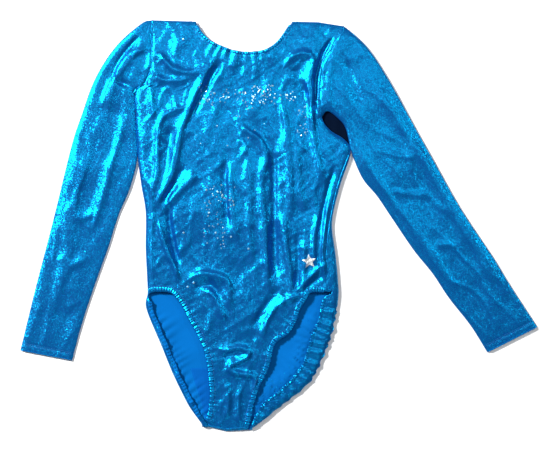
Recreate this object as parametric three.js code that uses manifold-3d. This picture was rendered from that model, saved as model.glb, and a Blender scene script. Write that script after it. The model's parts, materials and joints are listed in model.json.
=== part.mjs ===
// Long-sleeved gymnastics leotard, lying on its back with the front up.
// Millimetres. +X is the wearer's left, +Y runs towards the neck, +Z comes out of the front.
import * as THREE from 'three';
import { mergeVertices } from 'three/addons/utils/BufferGeometryUtils.js';
import Module from 'manifold-3d';

const wasm = await Module();
wasm.setup();

// ---- driving dimensions ----
const cloth = 1.2; // a panel of cloth, with its turned layers
const sewingGap = 0.3; // between any two pieces that are sewn together
const bodyThickness = 12; // both layers of the body and the air between them
const seamHeight = 4.5; // level where the front meets the back
const shoulderThickness = 8;
const crotchThickness = 8;
const sleeveTopThickness = 9;
const sleeveThickness = 5;
const sleeveSeamHeight = 2.1;
const hemWidth = 7;
const hemThickness = 1.8;
const seamWidth = 2.6;
const seamThickness = 1.8;
const elasticWidth = 4.5;
const elasticThickness = 0.7;
const elasticTopY = 292; // the neck elastic turns back below the ends of its hem
const cuffDepth = 11;
const forearmLength = 215; // from the elbow fold to the end of the cuff
const foldGap = 0.6; // slit between two nodes that a fold line divides
const bodyFoldY = -80;
const starRadius = 11.5;
const starInnerRadius = 5;
const starThickness = 0.8;
const starPlace = [46, -54];
const stoneRadius = 2.4;
const stoneHeight = 1.5;
const liningThickness = 0.6;
const labelSize = [32, 20, 0.4];
const labelPlace = [-50, 178];

// Plan of the body: at each height, its left and right edges as laid and its thickness.
const bodyLevels = [
  { y: 308, west: -206, east: 114, thick: shoulderThickness },
  { y: 290, west: -206, east: 112, thick: bodyThickness - 1 },
  { y: 250, west: -207, east: 92, thick: bodyThickness },
  { y: 202, west: -215, east: 80, thick: bodyThickness },
  { y: 165, west: -214, east: 68, thick: bodyThickness },
  { y: 142, west: -213, east: 80, thick: bodyThickness },
  { y: 111, west: -211, east: 106, thick: bodyThickness },
  { y: 64, west: -206, east: 93, thick: bodyThickness },
  { y: 21, west: -200, east: 82, thick: bodyThickness },
  { y: -10, west: -199, east: 80, thick: bodyThickness },
  { y: -50, west: -199, east: 85, thick: bodyThickness },
  { y: -100, west: -197, east: 89, thick: bodyThickness },
  { y: -126, west: -196, east: 88, thick: bodyThickness },
  { y: -160, west: -183, east: 80, thick: bodyThickness },
  { y: -195, west: -169, east: 66, thick: bodyThickness },
  { y: -222, west: -158, east: 55, thick: bodyThickness - 1 },
  { y: -245, west: -147, east: 31, thick: bodyThickness - 2 },
  { y: -270, west: -135, east: 4, thick: crotchThickness + 1 },
  { y: -292, west: -123, east: -19, thick: crotchThickness },
  { y: -306, west: -108, east: -42, thick: crotchThickness - 1 },
];

// Sleeves: stations from the shoulder to the cuff, west edge and east edge in plan.
const rightSleeveStations = [
  { west: [-184, 309], east: [-182, 228], thick: sleeveTopThickness },
  { west: [-222, 293], east: [-206, 208], thick: sleeveTopThickness },
  { west: [-256, 254], east: [-216.4, 190], thick: sleeveTopThickness },
  { west: [-284, 198], east: [-215.4, 152], thick: 8 },
  { west: [-303, 146], east: [-213.4, 108], thick: 7 },
  { west: [-322, 76], east: [-228, 46], thick: 6 },
  { west: [-340, 3], east: [-247, -14], thick: sleeveThickness },
  { west: [-365, -93], east: [-281, -106], thick: sleeveThickness },
  { west: [-388, -187], east: [-310, -202], thick: sleeveThickness },
];
const leftSleeveStations = [
  { west: [46, 180], east: [86, 306], thick: sleeveTopThickness },
  { west: [73, 173], east: [118, 284], thick: sleeveTopThickness },
  { west: [91, 161], east: [147, 251], thick: sleeveTopThickness },
  { west: [104, 145], east: [170, 214], thick: 8 },
  { west: [113.5, 112], east: [203, 153], thick: 7 },
  { west: [131, 72], east: [228, 106], thick: 6 },
  { west: [169, 14], east: [262, 50], thick: sleeveThickness },
  { west: [222, -58], east: [308, -26], thick: sleeveThickness },
  { west: [270, -125], east: [351, -90], thick: sleeveThickness },
  { west: [314, -190], east: [389, -152], thick: sleeveThickness },
];
const cuffs = {
  right: { west: [-388, -187], east: [-310, -202], elbowTurn: -10.75 },
  left: { west: [314, -190], east: [389, -152], elbowTurn: 24.1 },
};

const rightArmhole = [[-190, 312], [-190, 264], [-191, 237], [-202, 211], [-218, 203]];
const leftArmhole = [[103, 312], [84, 274], [67, 246], [62, 205], [65, 163]];
const foldLines = {
  right: [[-216, 300], [-226, 100]],
  left: [[112, 292], [140, 60]],
};
const frontNeck = [[-124, 305], [-117, 291], [-101, 276], [-72, 262], [-47, 258], [-21, 261], [-3, 272], [9, 288], [19, 303]];
const backNeck = [[29, 304], [26, 284], [12, 252], [-14, 222], [-50, 209], [-88, 222], [-115, 252], [-130, 284], [-134, 305]];
const rightLegFront = [
  [-189, -103], [-177, -99], [-160, -101], [-147, -114], [-131, -144], [-115, -174], [-106, -212], [-102, -248], [-104, -282],
];
const rightLegBack = [[-112, -293], [-122, -282], [-138, -250], [-152, -220], [-168, -187], [-186, -146], [-194, -118]];
const leftLegFront = [
  [62, -101], [46, -102], [36, -116], [25, -144], [8, -162], [-7, -182], [-17, -216], [-32, -244], [-45, -280],
];
const leftLegBack = [[-38, -295], [-25, -282], [8, -242], [30, -215], [46, -180], [62, -150], [71, -122]];
const leftSideSeam = [[103, 108], [90, 64], [79, 22], [73, -18], [73, -52], [77, -80], [79, -104]];
const rightSideSeam = [[-208, 104], [-203, 62], [-197, 20], [-196, -12], [-196, -50], [-195, -96]];
const crotchLine = [[-104, -304], [-78, -305], [-46, -304]];
const chestStones = [
  [-112, 191], [-96, 199], [-77, 193], [-58, 200], [-38, 194], [-22, 201], [-6, 192], [13, 196], [31, 173], [40, 140],
  [-108, 54], [-84, 46], [-104, 20], [-94, -10],
];

const colours = { foil: 0x0a70c4, matte: 0x0a7fd8, thread: 0x0b5fb0, elastic: 0xdfe8f0, silver: 0xb9bdc2, crystal: 0xbfe6f7, lining: 0x0a78cc, label: 0xf2f2f2 };

// ---- solids ----
function solidFrom(geometry) {
  const bare = geometry.clone();
  bare.deleteAttribute('normal');
  bare.deleteAttribute('uv');
  const merged = mergeVertices(bare, 1e-4);
  return new wasm.Manifold(new wasm.Mesh({
    numProp: 3,
    vertProperties: new Float32Array(merged.attributes.position.array),
    triVerts: new Uint32Array(merged.index.array),
  }));
}

function geometryFrom(solid) {
  const result = solid.getMesh();
  const geometry = new THREE.BufferGeometry();
  geometry.setAttribute('position', new THREE.BufferAttribute(new Float32Array(result.vertProperties), 3));
  geometry.setIndex(new THREE.BufferAttribute(new Uint32Array(result.triVerts), 1));
  const flat = geometry.toNonIndexed();
  flat.computeVertexNormals();
  return flat;
}

// Skin over a row of closed rings of equal size, with a flat cap at each end.
function loft(rings) {
  const size = rings[0].length;
  const positions = rings.flat().flatMap((point) => [point.x, point.y, point.z]);
  const faces = [];
  for (let ring = 0; ring + 1 < rings.length; ring += 1) {
    for (let i = 0; i < size; i += 1) {
      const here = ring * size + i;
      const next = ring * size + ((i + 1) % size);
      faces.push(here, here + size, next + size, here, next + size, next);
    }
  }
  const last = (rings.length - 1) * size;
  for (let i = 1; i + 1 < size; i += 1) {
    faces.push(0, i, i + 1);
    faces.push(last, last + i + 1, last + i);
  }
  const geometry = new THREE.BufferGeometry();
  geometry.setAttribute('position', new THREE.Float32BufferAttribute(positions, 3));
  geometry.setIndex(faces);
  return geometry;
}

// How full the pillow is from edge (1) to middle (0).
function fullness(share) {
  return Math.sqrt(Math.max(0, 1 - Math.abs(share) ** 5));
}

const spread = [-1, -0.97, -0.88, -0.7, 0, 0.7, 0.88, 0.97, 1];

// Cross-section of a flattened tube between two edge points: crowned on top, flat below.
function flatRing(station, seamLevel, inset) {
  const west = new THREE.Vector2(...station.west);
  const east = new THREE.Vector2(...station.east);
  const middle = west.clone().add(east).multiplyScalar(0.5);
  const half = east.clone().sub(west).multiplyScalar(0.5);
  half.setLength(half.length() - inset);
  const at = (share, z) => new THREE.Vector3(middle.x + half.x * share, middle.y + half.y * share, z);
  const top = spread.map((share) => at(share, seamLevel + (station.thick - inset - seamLevel) * fullness(share)));
  const inner = spread.slice(1, -1).reverse();
  const bottom = inner.map((share) => at(share, Math.max(inset, seamLevel - (seamLevel + 0.8) * fullness(share))));
  return [...top, ...bottom];
}

function tubeOfCloth(stations, seamLevel) {
  const outer = solidFrom(loft(stations.map((station) => flatRing(station, seamLevel, 0))));
  const first = stations[0];
  const last = stations[stations.length - 1];
  const beyond = (station, other) => ({
    west: [station.west[0] * 1.02 - other.west[0] * 0.02, station.west[1] * 1.02 - other.west[1] * 0.02],
    east: [station.east[0] * 1.02 - other.east[0] * 0.02, station.east[1] * 1.02 - other.east[1] * 0.02],
    thick: station.thick,
  });
  const run = [beyond(first, stations[1]), ...stations, beyond(last, stations[stations.length - 2])];
  const inner = solidFrom(loft(run.map((station) => flatRing(station, seamLevel, cloth))));
  return outer.subtract(inner);
}

function prism(points, low, high) {
  const shape = new THREE.Shape(points.map(([x, y]) => new THREE.Vector2(x, y)));
  const geometry = new THREE.ExtrudeGeometry(shape, { depth: high - low, bevelEnabled: false });
  geometry.translate(0, 0, low);
  return solidFrom(geometry);
}

// A long strip beside a straight line: everything on one side of it, in plan.
function halfPlane([from, to], side, shift) {
  const start = new THREE.Vector2(...from);
  const along = new THREE.Vector2(...to).sub(start).normalize();
  const across = new THREE.Vector2(along.y, -along.x).multiplyScalar(side);
  const reach = 900;
  const corner = (down, out) => start.clone().addScaledVector(along, down).addScaledVector(across, out).toArray();
  return prism([corner(-reach, shift), corner(reach, shift), corner(reach, reach), corner(-reach, reach)], -20, 60);
}

// A flat bar of the given width and thickness swept along a route.
function bar(route, width, thickness, closed = false) {
  const rings = route.map((point, i) => {
    const before = route[closed ? (i + route.length - 1) % route.length : Math.max(0, i - 1)];
    const after = route[closed ? (i + 1) % route.length : Math.min(route.length - 1, i + 1)];
    const along = after.clone().sub(before).setZ(0).normalize();
    const side = new THREE.Vector3(along.y, -along.x, 0).multiplyScalar(width / 2);
    const up = new THREE.Vector3(0, 0, thickness / 2);
    return [
      point.clone().sub(side).sub(up),
      point.clone().add(side).sub(up),
      point.clone().add(side).add(up),
      point.clone().sub(side).add(up),
    ];
  });
  let geometry = loft(closed ? [...rings, rings[0]] : rings);
  if (closed) {
    const sideFaces = [...geometry.index.array].slice(0, rings.length * 4 * 6);
    geometry.setIndex(sideFaces);
  }
  const solid = solidFrom(geometry);
  return solid;
}

function smoothRoute(points, count, closed = false) {
  const curve = new THREE.CatmullRomCurve3(points, closed, 'centripetal');
  const route = curve.getSpacedPoints(count);
  if (closed) {
    route.pop();
  }
  return route;
}

// ---- heights of the body's front ----
function bodyAt(y) {
  const below = bodyLevels.findIndex((level) => level.y <= y);
  const low = bodyLevels[below < 0 ? bodyLevels.length - 1 : Math.max(1, below)];
  const high = bodyLevels[bodyLevels.indexOf(low) - 1];
  const share = THREE.MathUtils.clamp((y - low.y) / (high.y - low.y), 0, 1);
  return {
    west: THREE.MathUtils.lerp(low.west, high.west, share),
    east: THREE.MathUtils.lerp(low.east, high.east, share),
    thick: THREE.MathUtils.lerp(low.thick, high.thick, share),
  };
}

function frontHeight([x, y]) {
  const level = bodyAt(y);
  const share = (2 * x - level.west - level.east) / (level.east - level.west);
  const steps = spread.map((s) => seamHeight + (level.thick - seamHeight) * fullness(s));
  const at = spread.findIndex((s) => s >= Math.min(1, Math.max(-0.999, share)));
  const part = (Math.min(1, Math.max(-0.999, share)) - spread[at - 1]) / (spread[at] - spread[at - 1]);
  return THREE.MathUtils.lerp(steps[at - 1], steps[at], part);
}

const onFront = (points, drop) => points.map((p) => new THREE.Vector3(p[0], p[1], frontHeight(p) - drop));
const atLevel = (points, z) => points.map((p) => new THREE.Vector3(p[0], p[1], z));
const lowered = (points, amount) => points.map((p) => p.clone().setZ(p.z - amount));
const notBelow = (floor, points) => points.map((p) => p.clone().setZ(Math.max(floor, p.z)));

// ---- garment group ----
const garment = new THREE.Group();
garment.name = 'gymnastics_leotard';

function addNode(name, solid, colour, roughness = 0.45, metalness = 0.35) {
  const material = new THREE.MeshStandardMaterial({ color: colour, roughness, metalness });
  const mesh = new THREE.Mesh(geometryFrom(solid), material);
  mesh.name = name;
  garment.add(mesh);
}

// ---- routes of the sewn edges ----
const clothMiddle = cloth / 2;
const backLevel = hemThickness / 2 + 0.05;
const legBackLevel = 6.6;
const neckHemRoute = notBelow(backLevel, smoothRoute([
  ...onFront(frontNeck, clothMiddle),
  new THREE.Vector3(24, 305.5, seamHeight),
  ...atLevel(backNeck, backLevel),
  new THREE.Vector3(-129, 306.5, seamHeight),
], 48, true));
const legHemRoute = (front, back) => notBelow(legBackLevel, smoothRoute([
  ...onFront(front, clothMiddle),
  ...atLevel(back, legBackLevel),
], 36, true));
const hemRoutes = {
  right: legHemRoute(rightLegFront, rightLegBack),
  left: legHemRoute(leftLegFront, leftLegBack),
};
const elasticDrop = hemThickness / 2 + sewingGap + elasticThickness / 2;
const neckElasticRoute = neckHemRoute
  .filter((point) => point.y < elasticTopY)
  .map((point) => point.clone().setZ(point.z + (point.z > seamHeight ? -elasticDrop : elasticDrop)));
const legElasticRoutes = {
  right: lowered(hemRoutes.right, elasticDrop),
  left: lowered(hemRoutes.left, elasticDrop),
};
const neckHem = bar(neckHemRoute, hemWidth, hemThickness, true);
const widened = (route, width, thickness, closed = false) => (
  bar(route, width + 2 * sewingGap, thickness + 2 * sewingGap, closed)
);

const armholeRoutes = {};
for (const [side, points] of [['right', rightArmhole], ['left', leftArmhole]]) {
  const inset = points.map(([x, y], i) => [x, i === 0 ? 303 : y]);
  inset[inset.length - 1] = side === 'right' ? [-211, 204.5] : [64.5, 167];
  armholeRoutes[side] = {
    front: smoothRoute(onFront(inset, clothMiddle), 8),
    back: smoothRoute(atLevel(inset, backLevel), 8),
  };
}

const sideRoutes = {
  right: smoothRoute(atLevel(rightSideSeam, seamHeight), 10),
  left: smoothRoute(onFront(leftSideSeam, clothMiddle), 10),
};
const crotchRoute = smoothRoute(atLevel(crotchLine, seamHeight), 6);
const shoulderRoutes = {
  right: [new THREE.Vector3(-184, 306, seamHeight), new THREE.Vector3(-137, 306, seamHeight)],
  left: [new THREE.Vector3(32, 306, seamHeight), new THREE.Vector3(94, 304.5, seamHeight)],
};

const seamCuts = [
  widened(neckHemRoute, hemWidth, hemThickness, true),
  widened(hemRoutes.right, hemWidth, hemThickness, true),
  widened(hemRoutes.left, hemWidth, hemThickness, true),
  widened(legElasticRoutes.right, elasticWidth, elasticThickness, true),
  widened(legElasticRoutes.left, elasticWidth, elasticThickness, true),
  widened(neckElasticRoute, elasticWidth, elasticThickness, true),
  widened(crotchRoute, seamWidth, seamThickness),
  ...['right', 'left'].flatMap((side) => [
    widened(armholeRoutes[side].front, seamWidth, seamThickness),
    widened(armholeRoutes[side].back, seamWidth, seamThickness),
    widened(sideRoutes[side], seamWidth, seamThickness),
    widened(shoulderRoutes[side], seamWidth, seamThickness),
  ]),
];

// ---- body ----
const bodyShell = tubeOfCloth(bodyLevels.map((level) => ({
  west: [level.west, level.y],
  east: [level.east, level.y],
  thick: level.thick,
})), seamHeight);
const westOf = (points) => [...points, [-400, points[points.length - 1][1]], [-400, points[0][1]]];
const eastOf = (points) => [...points, [400, points[points.length - 1][1]], [400, points[0][1]]];
const outsideArmholes = prism(westOf(rightArmhole), -20, 60).add(prism(eastOf(leftArmhole), -20, 60));
const neckCut = (points) => prism([...points, [points[points.length - 1][0], 330], [points[0][0], 330]], -20, 60);

const wideWest = [[-260, 320], [-260, -112]];
const frontPlan = [
  ...wideWest, [-199, -110], ...rightLegFront, [-105, -330], [-43, -330], ...[...leftLegFront].reverse(),
  [79, -104], ...[...leftSideSeam].reverse(), [150, 150], [150, 320],
];
const backCutPlan = [
  [-260, 320], [-260, -330], [-41, -330], ...leftLegBack.slice(1), [66, -104],
  [79, -104], ...[...leftSideSeam].reverse(), [150, 150], [150, 320],
];
const slack = sewingGap / 2;
const frontWhole = bodyShell
  .intersect(prism(frontPlan, seamHeight + slack, 60))
  .subtract(neckCut(frontNeck))
  .subtract(outsideArmholes);
const backWhole = bodyShell
  .subtract(prism(backCutPlan, seamHeight - slack, 60))
  .subtract(neckCut([...backNeck].reverse()))
  .subtract(outsideArmholes);

const largest = (solid) => solid.decompose().sort((a, b) => b.volume() - a.volume())[0];
const sewn = (solid) => largest(seamCuts.reduce((rest, cut) => rest.subtract(cut), solid));
const above = halfPlane([[-300, bodyFoldY], [300, bodyFoldY]], -1, foldGap / 2);
const below = halfPlane([[-300, bodyFoldY], [300, bodyFoldY]], 1, foldGap / 2);

addNode('front_bodice_upper', sewn(frontWhole.intersect(above)), colours.foil);
addNode('front_bodice_lower', sewn(frontWhole.intersect(below)), colours.foil);
addNode('back_bodice_upper', sewn(backWhole.intersect(above)), colours.foil);
addNode('back_bodice_lower', sewn(backWhole.intersect(below)), colours.foil);

// ---- neck, legs, crotch and seams ----
addNode('neck_hem', neckHem, colours.foil);
addNode('neck_elastic', bar(neckElasticRoute, elasticWidth, elasticThickness, true), colours.elastic, 0.8, 0);
for (const side of ['left', 'right']) {
  addNode(`${side}_leg_hem`, bar(hemRoutes[side], hemWidth, hemThickness, true), colours.foil);
  addNode(`${side}_leg_elastic`, bar(legElasticRoutes[side], elasticWidth, elasticThickness, true), colours.elastic, 0.8, 0);
}
addNode('crotch_seam', bar(crotchRoute, seamWidth, seamThickness), colours.thread);
for (const side of ['left', 'right']) {
  addNode(`${side}_shoulder_seam`, bar(shoulderRoutes[side], seamWidth, seamThickness), colours.thread);
  const seam = bar(sideRoutes[side], seamWidth, seamThickness);
  addNode(`${side}_side_seam_upper`, seam.intersect(above), colours.thread);
  addNode(`${side}_side_seam_lower`, seam.intersect(below), colours.thread);
  addNode(`${side}_armhole_seam_front`, bar(armholeRoutes[side].front, seamWidth, seamThickness), colours.thread);
  addNode(`${side}_armhole_seam_back`, bar(armholeRoutes[side].back, seamWidth, seamThickness), colours.thread);
}

// ---- sleeves ----
const levelsBelow = (y) => bodyLevels.filter((level) => level.y < y && level.y > -60);
const bodyOutline = [
  ...rightArmhole.slice(0, -1).map(([x, y]) => [x - sewingGap, y + sewingGap]),
  [-216.4, 204.2],
  ...levelsBelow(203).map((level) => [level.west - sewingGap, level.y]),
  ...levelsBelow(160).reverse().map((level) => [level.east + sewingGap, level.y]),
  [70.5, 163.5],
  ...[...leftArmhole].reverse().map(([x, y]) => [x + sewingGap, y + sewingGap]),
];
const bodySolid = prism(bodyOutline, -20, 60);

function sleeve(side, stations, armSide) {
  const shell = tubeOfCloth(stations, sleeveSeamHeight);
  const cuff = cuffs[side];
  const cuffWest = new THREE.Vector2(...cuff.west);
  const cuffEast = new THREE.Vector2(...cuff.east);
  const across = cuffEast.clone().sub(cuffWest).normalize();
  const upArm = new THREE.Vector2(-across.y, across.x);
  const cuffMiddle = cuffWest.clone().add(cuffEast).multiplyScalar(0.5);
  const lineAt = (distance, angle) => {
    const through = cuffMiddle.clone().addScaledVector(upArm, distance);
    const turn = THREE.MathUtils.degToRad(angle);
    const direction = new THREE.Vector2(Math.cos(turn), Math.sin(turn));
    return [through.clone().addScaledVector(direction, -60).toArray(), through.clone().addScaledVector(direction, 60).toArray()];
  };
  const elbow = lineAt(forearmLength, cuff.elbowTurn);
  const cuffLine = lineAt(cuffDepth, THREE.MathUtils.radToDeg(Math.atan2(across.y, across.x)));
  const whole = shell.subtract(bodySolid);
  const fold = foldLines[side];
  const cap = whole.intersect(halfPlane(fold, -armSide, foldGap / 2)).intersect(halfPlane(elbow, -1, foldGap / 2));
  const arm = whole.intersect(halfPlane(fold, armSide, foldGap / 2));

  const underRoute = stations.map((station) => {
    const inner = new THREE.Vector2(...(armSide < 0 ? station.west : station.east));
    const outer = new THREE.Vector2(...(armSide < 0 ? station.east : station.west));
    const place = inner.clone().lerp(outer, 2.4 / inner.distanceTo(outer));
    return new THREE.Vector3(place.x, place.y, sleeveSeamHeight);
  });
  const underSeam = smoothRoute(underRoute.slice(3), 14);
  const underBar = bar(underSeam, seamWidth, seamThickness);
  const cuts = [
    widened(underSeam, seamWidth, seamThickness),
    widened(armholeRoutes[side].front, seamWidth, seamThickness),
    widened(armholeRoutes[side].back, seamWidth, seamThickness),
    widened(shoulderRoutes[side], seamWidth, seamThickness),
  ];
  const cut = (solid) => largest(cuts.reduce((rest, tool) => rest.subtract(tool), solid));
  const upper = arm.intersect(halfPlane(elbow, -1, foldGap / 2));
  const lower = arm.intersect(halfPlane(elbow, 1, foldGap / 2));
  addNode(`${side}_sleeve_cap`, cut(cap), colours.foil);
  addNode(`${side}_upper_sleeve`, cut(upper), colours.foil);
  addNode(`${side}_forearm_sleeve`, cut(lower.intersect(halfPlane(cuffLine, -1, sewingGap / 2))), colours.foil);
  addNode(`${side}_cuff_hem`, largest(lower.intersect(halfPlane(cuffLine, 1, sewingGap / 2))), colours.foil);
  const underUpper = underBar.intersect(halfPlane(fold, armSide, foldGap / 2)).intersect(halfPlane(elbow, -1, foldGap / 2));
  const underLower = underBar.intersect(halfPlane(elbow, 1, foldGap / 2)).intersect(halfPlane(cuffLine, -1, 0.5));
  addNode(`${side}_underarm_seam_upper`, largest(underUpper), colours.thread);
  addNode(`${side}_underarm_seam_lower`, largest(underLower), colours.thread);
}

sleeve('right', rightSleeveStations, 1);
sleeve('left', leftSleeveStations, -1);

// ---- lining, label, emblem and stones ----
const liningPlan = [[-134, -226], [-96, -200], [-52, -200], [0, -226], [-28, -258], [-54, -288], [-101, -288], [-118, -262]];
const liningLevel = cloth + sewingGap;
addNode('crotch_lining', prism(liningPlan, liningLevel, liningLevel + liningThickness), colours.lining, 0.8, 0);

const label = new THREE.BoxGeometry(...labelSize);
label.translate(...labelPlace, cloth + sewingGap + labelSize[2] / 2);
addNode('care_label', solidFrom(label), colours.label, 0.8, 0);

const starPoints = Array.from({ length: 10 }, (_, i) => {
  const radius = i % 2 === 0 ? starRadius : starInnerRadius;
  const angle = Math.PI / 2 + (i * Math.PI) / 5;
  return [starPlace[0] + radius * Math.cos(angle), starPlace[1] + radius * Math.sin(angle)];
});
const starLevel = Math.max(...starPoints.map(frontHeight)) + sewingGap;
addNode('hip_star', prism(starPoints, starLevel, starLevel + starThickness), colours.silver, 0.25, 1);

chestStones.forEach((place, i) => {
  const stone = new THREE.CylinderGeometry(stoneRadius * 0.62, stoneRadius, stoneHeight, 8);
  stone.rotateX(Math.PI / 2);
  stone.translate(place[0], place[1], frontHeight(place) + sewingGap + stoneHeight / 2);
  addNode(`rhinestone_${String(i + 1).padStart(2, '0')}`, solidFrom(stone), colours.crystal, 0.05, 0.1);
});

// ---- origin under the middle of the whole garment ----
const box = new THREE.Box3().setFromObject(garment);
const middle = box.getCenter(new THREE.Vector3());
garment.position.set(-middle.x, -middle.y, -box.min.z);

export default garment;
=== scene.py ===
import json
import math

import bpy
import bmesh
import numpy as np
from mathutils import Matrix, Vector


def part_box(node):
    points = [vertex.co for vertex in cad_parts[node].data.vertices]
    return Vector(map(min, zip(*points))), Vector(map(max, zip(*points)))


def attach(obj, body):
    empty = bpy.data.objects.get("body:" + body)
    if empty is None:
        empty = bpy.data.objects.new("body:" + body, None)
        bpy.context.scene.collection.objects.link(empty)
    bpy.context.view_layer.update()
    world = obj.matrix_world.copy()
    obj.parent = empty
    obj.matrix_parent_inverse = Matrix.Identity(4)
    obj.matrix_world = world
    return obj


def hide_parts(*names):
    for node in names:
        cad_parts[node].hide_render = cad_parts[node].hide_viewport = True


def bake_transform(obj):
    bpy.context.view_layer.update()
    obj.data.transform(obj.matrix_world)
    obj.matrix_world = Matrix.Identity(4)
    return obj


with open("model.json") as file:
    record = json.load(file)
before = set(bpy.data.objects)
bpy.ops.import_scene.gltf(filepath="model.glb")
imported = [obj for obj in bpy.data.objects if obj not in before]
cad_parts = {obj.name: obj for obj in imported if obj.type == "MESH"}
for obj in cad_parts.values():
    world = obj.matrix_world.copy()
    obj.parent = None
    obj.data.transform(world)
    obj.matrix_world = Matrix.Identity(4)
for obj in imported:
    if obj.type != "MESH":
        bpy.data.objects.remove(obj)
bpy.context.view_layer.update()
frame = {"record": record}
mm = 0.001

# the pattern is drawn in millimetres in the garment's own plan; the label tells how far the frame moved it
labelInPlan = Vector((-50 * mm, 178 * mm, 0))
labelLow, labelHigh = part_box("care_label")
planShift = ((labelLow + labelHigh) / 2 - labelInPlan) / mm
shiftX, shiftY = planShift.x, planShift.y


def inFrame(points):  # plan millimetres to the frame's metres
    return (np.asarray(points, float) + np.array([shiftX, shiftY, 0])) * mm


def smoothStep(t):
    t = np.clip(t, 0, 1)
    return t * t * (3 - 2 * t)


def runAlong(line):  # the length walked at each of a line's points
    return np.concatenate([[0], np.cumsum(np.linalg.norm(np.diff(line, axis=0), axis=1))])


def pointsAt(line, run, at):  # where a line is at those lengths
    return np.stack([np.interp(at, run, line[:, k]) for k in range(line.shape[1])], -1)


def sidewaysOf(line):  # unit vectors to the left of the way a line runs
    tangent = np.gradient(line, axis=0)
    tangent /= np.linalg.norm(tangent, axis=1)[:, None] + 1e-12
    return np.stack([-tangent[:, 1], tangent[:, 0]], 1)


def curveThrough(points, step=2.0):  # a smooth line through the points, in even steps
    p = np.array(points, float)
    p = np.vstack([2 * p[0] - p[1], p, 2 * p[-1] - p[-2]])
    out = []
    for a, b, c, d in zip(p[:-3], p[1:-2], p[2:-1], p[3:]):
        n = max(2, int(np.linalg.norm(c - b) / step * 1.5))
        t = np.linspace(0, 1, n, endpoint=False)[:, None]
        second, third = 2 * a - 5 * b + 4 * c - d, 3 * b - a - 3 * c + d
        out.append(0.5 * (2 * b + (c - a) * t + second * t**2 + third * t**3))
    line = np.vstack(out + [p[-2][None]])
    run = runAlong(line)
    count = max(3, int(round(run[-1] / step)) + 1)
    return pointsAt(line, run, np.linspace(0, run[-1], count))


def nearestOn(line, x, y):  # distance to a line, the same with its side's sign, and how far along the line
    line = np.asarray(line, float)
    run = runAlong(line)
    best, signed, along = np.full(x.shape, 1e9), np.zeros(x.shape), np.zeros(x.shape)
    for start, length, a, d in zip(run, np.diff(run), line[:-1], np.diff(line, axis=0)):
        if length < 1e-9:
            continue
        u = d / length
        px, py = x - a[0], y - a[1]
        t = np.clip(px * u[0] + py * u[1], 0, length)
        dist = np.hypot(px - t * u[0], py - t * u[1])
        side = np.sign(u[0] * py - u[1] * px)
        hit = dist < best
        best = np.where(hit, dist, best)
        signed = np.where(hit, dist * side, signed)
        along = np.where(hit, start + t, along)
    return best, signed, along


def insideOf(polygon, x, y):  # true for the points within a closed outline
    inside = np.zeros(x.shape, bool)
    px, py = polygon[-1]
    for qx, qy in polygon:
        crosses = ((qy > y) != (py > y)) & (x < (px - qx) * (y - qy) / (py - qy + 1e-12) + qx)
        inside ^= crosses
        px, py = qx, qy
    return inside


def swell(x, y, seed, lengths, turn=0.0, stretch=1.0):  # a wandering sum of waves, the same each run
    rng = np.random.default_rng(seed)
    c, s = math.cos(turn), math.sin(turn)
    u, v = x * c + y * s, (-x * s + y * c) / stretch
    total = np.zeros(x.shape)
    for waveLength in lengths:
        for _ in range(5):
            angle = rng.uniform(0, 2 * math.pi)
            k = 2 * math.pi / (waveLength * rng.uniform(0.75, 1.35))
            drift = u * rng.uniform(-1, 1) + v * rng.uniform(-1, 1)
            bend = 0.6 * np.sin(2 * math.pi * drift / (waveLength * 2.7) + rng.uniform(0, 6))
            across = u * math.cos(angle) + v * math.sin(angle)
            total += np.sin(k * across + bend + rng.uniform(0, 6.28)) * waveLength / lengths[0]
    return total / (5 * sum(w / lengths[0] for w in lengths)) * 1.6


def waveOf(x, y, spec):
    return spec["height"] * swell(x, y, spec["seed"], spec["lengths"], spec["turn"], spec["stretch"])


creaseShape = {"narrow": 2.6, "sharp": 1.3}  # thin creases stand where a wave passes through zero


def creaseOf(x, y, spec):
    wander = swell(x, y, spec["seed"], spec["lengths"], spec["turn"], spec["stretch"])
    return spec["height"] * np.maximum(0, 1 - np.abs(wander) * creaseShape["narrow"]) ** creaseShape["sharp"]


def ripple(along, spec, extra=0.0):  # the gathers that an elastic leaves: a wavy main pitch and a finer one
    bend = spec["wobble"] * np.sin(along / spec["wobbleOver"]) + extra
    return (np.sin(along * 2 * math.pi / spec["pitch"] + bend)
            + 0.5 * np.sin(along * 2 * math.pi / spec["finePitch"] + spec["phase"]))


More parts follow.
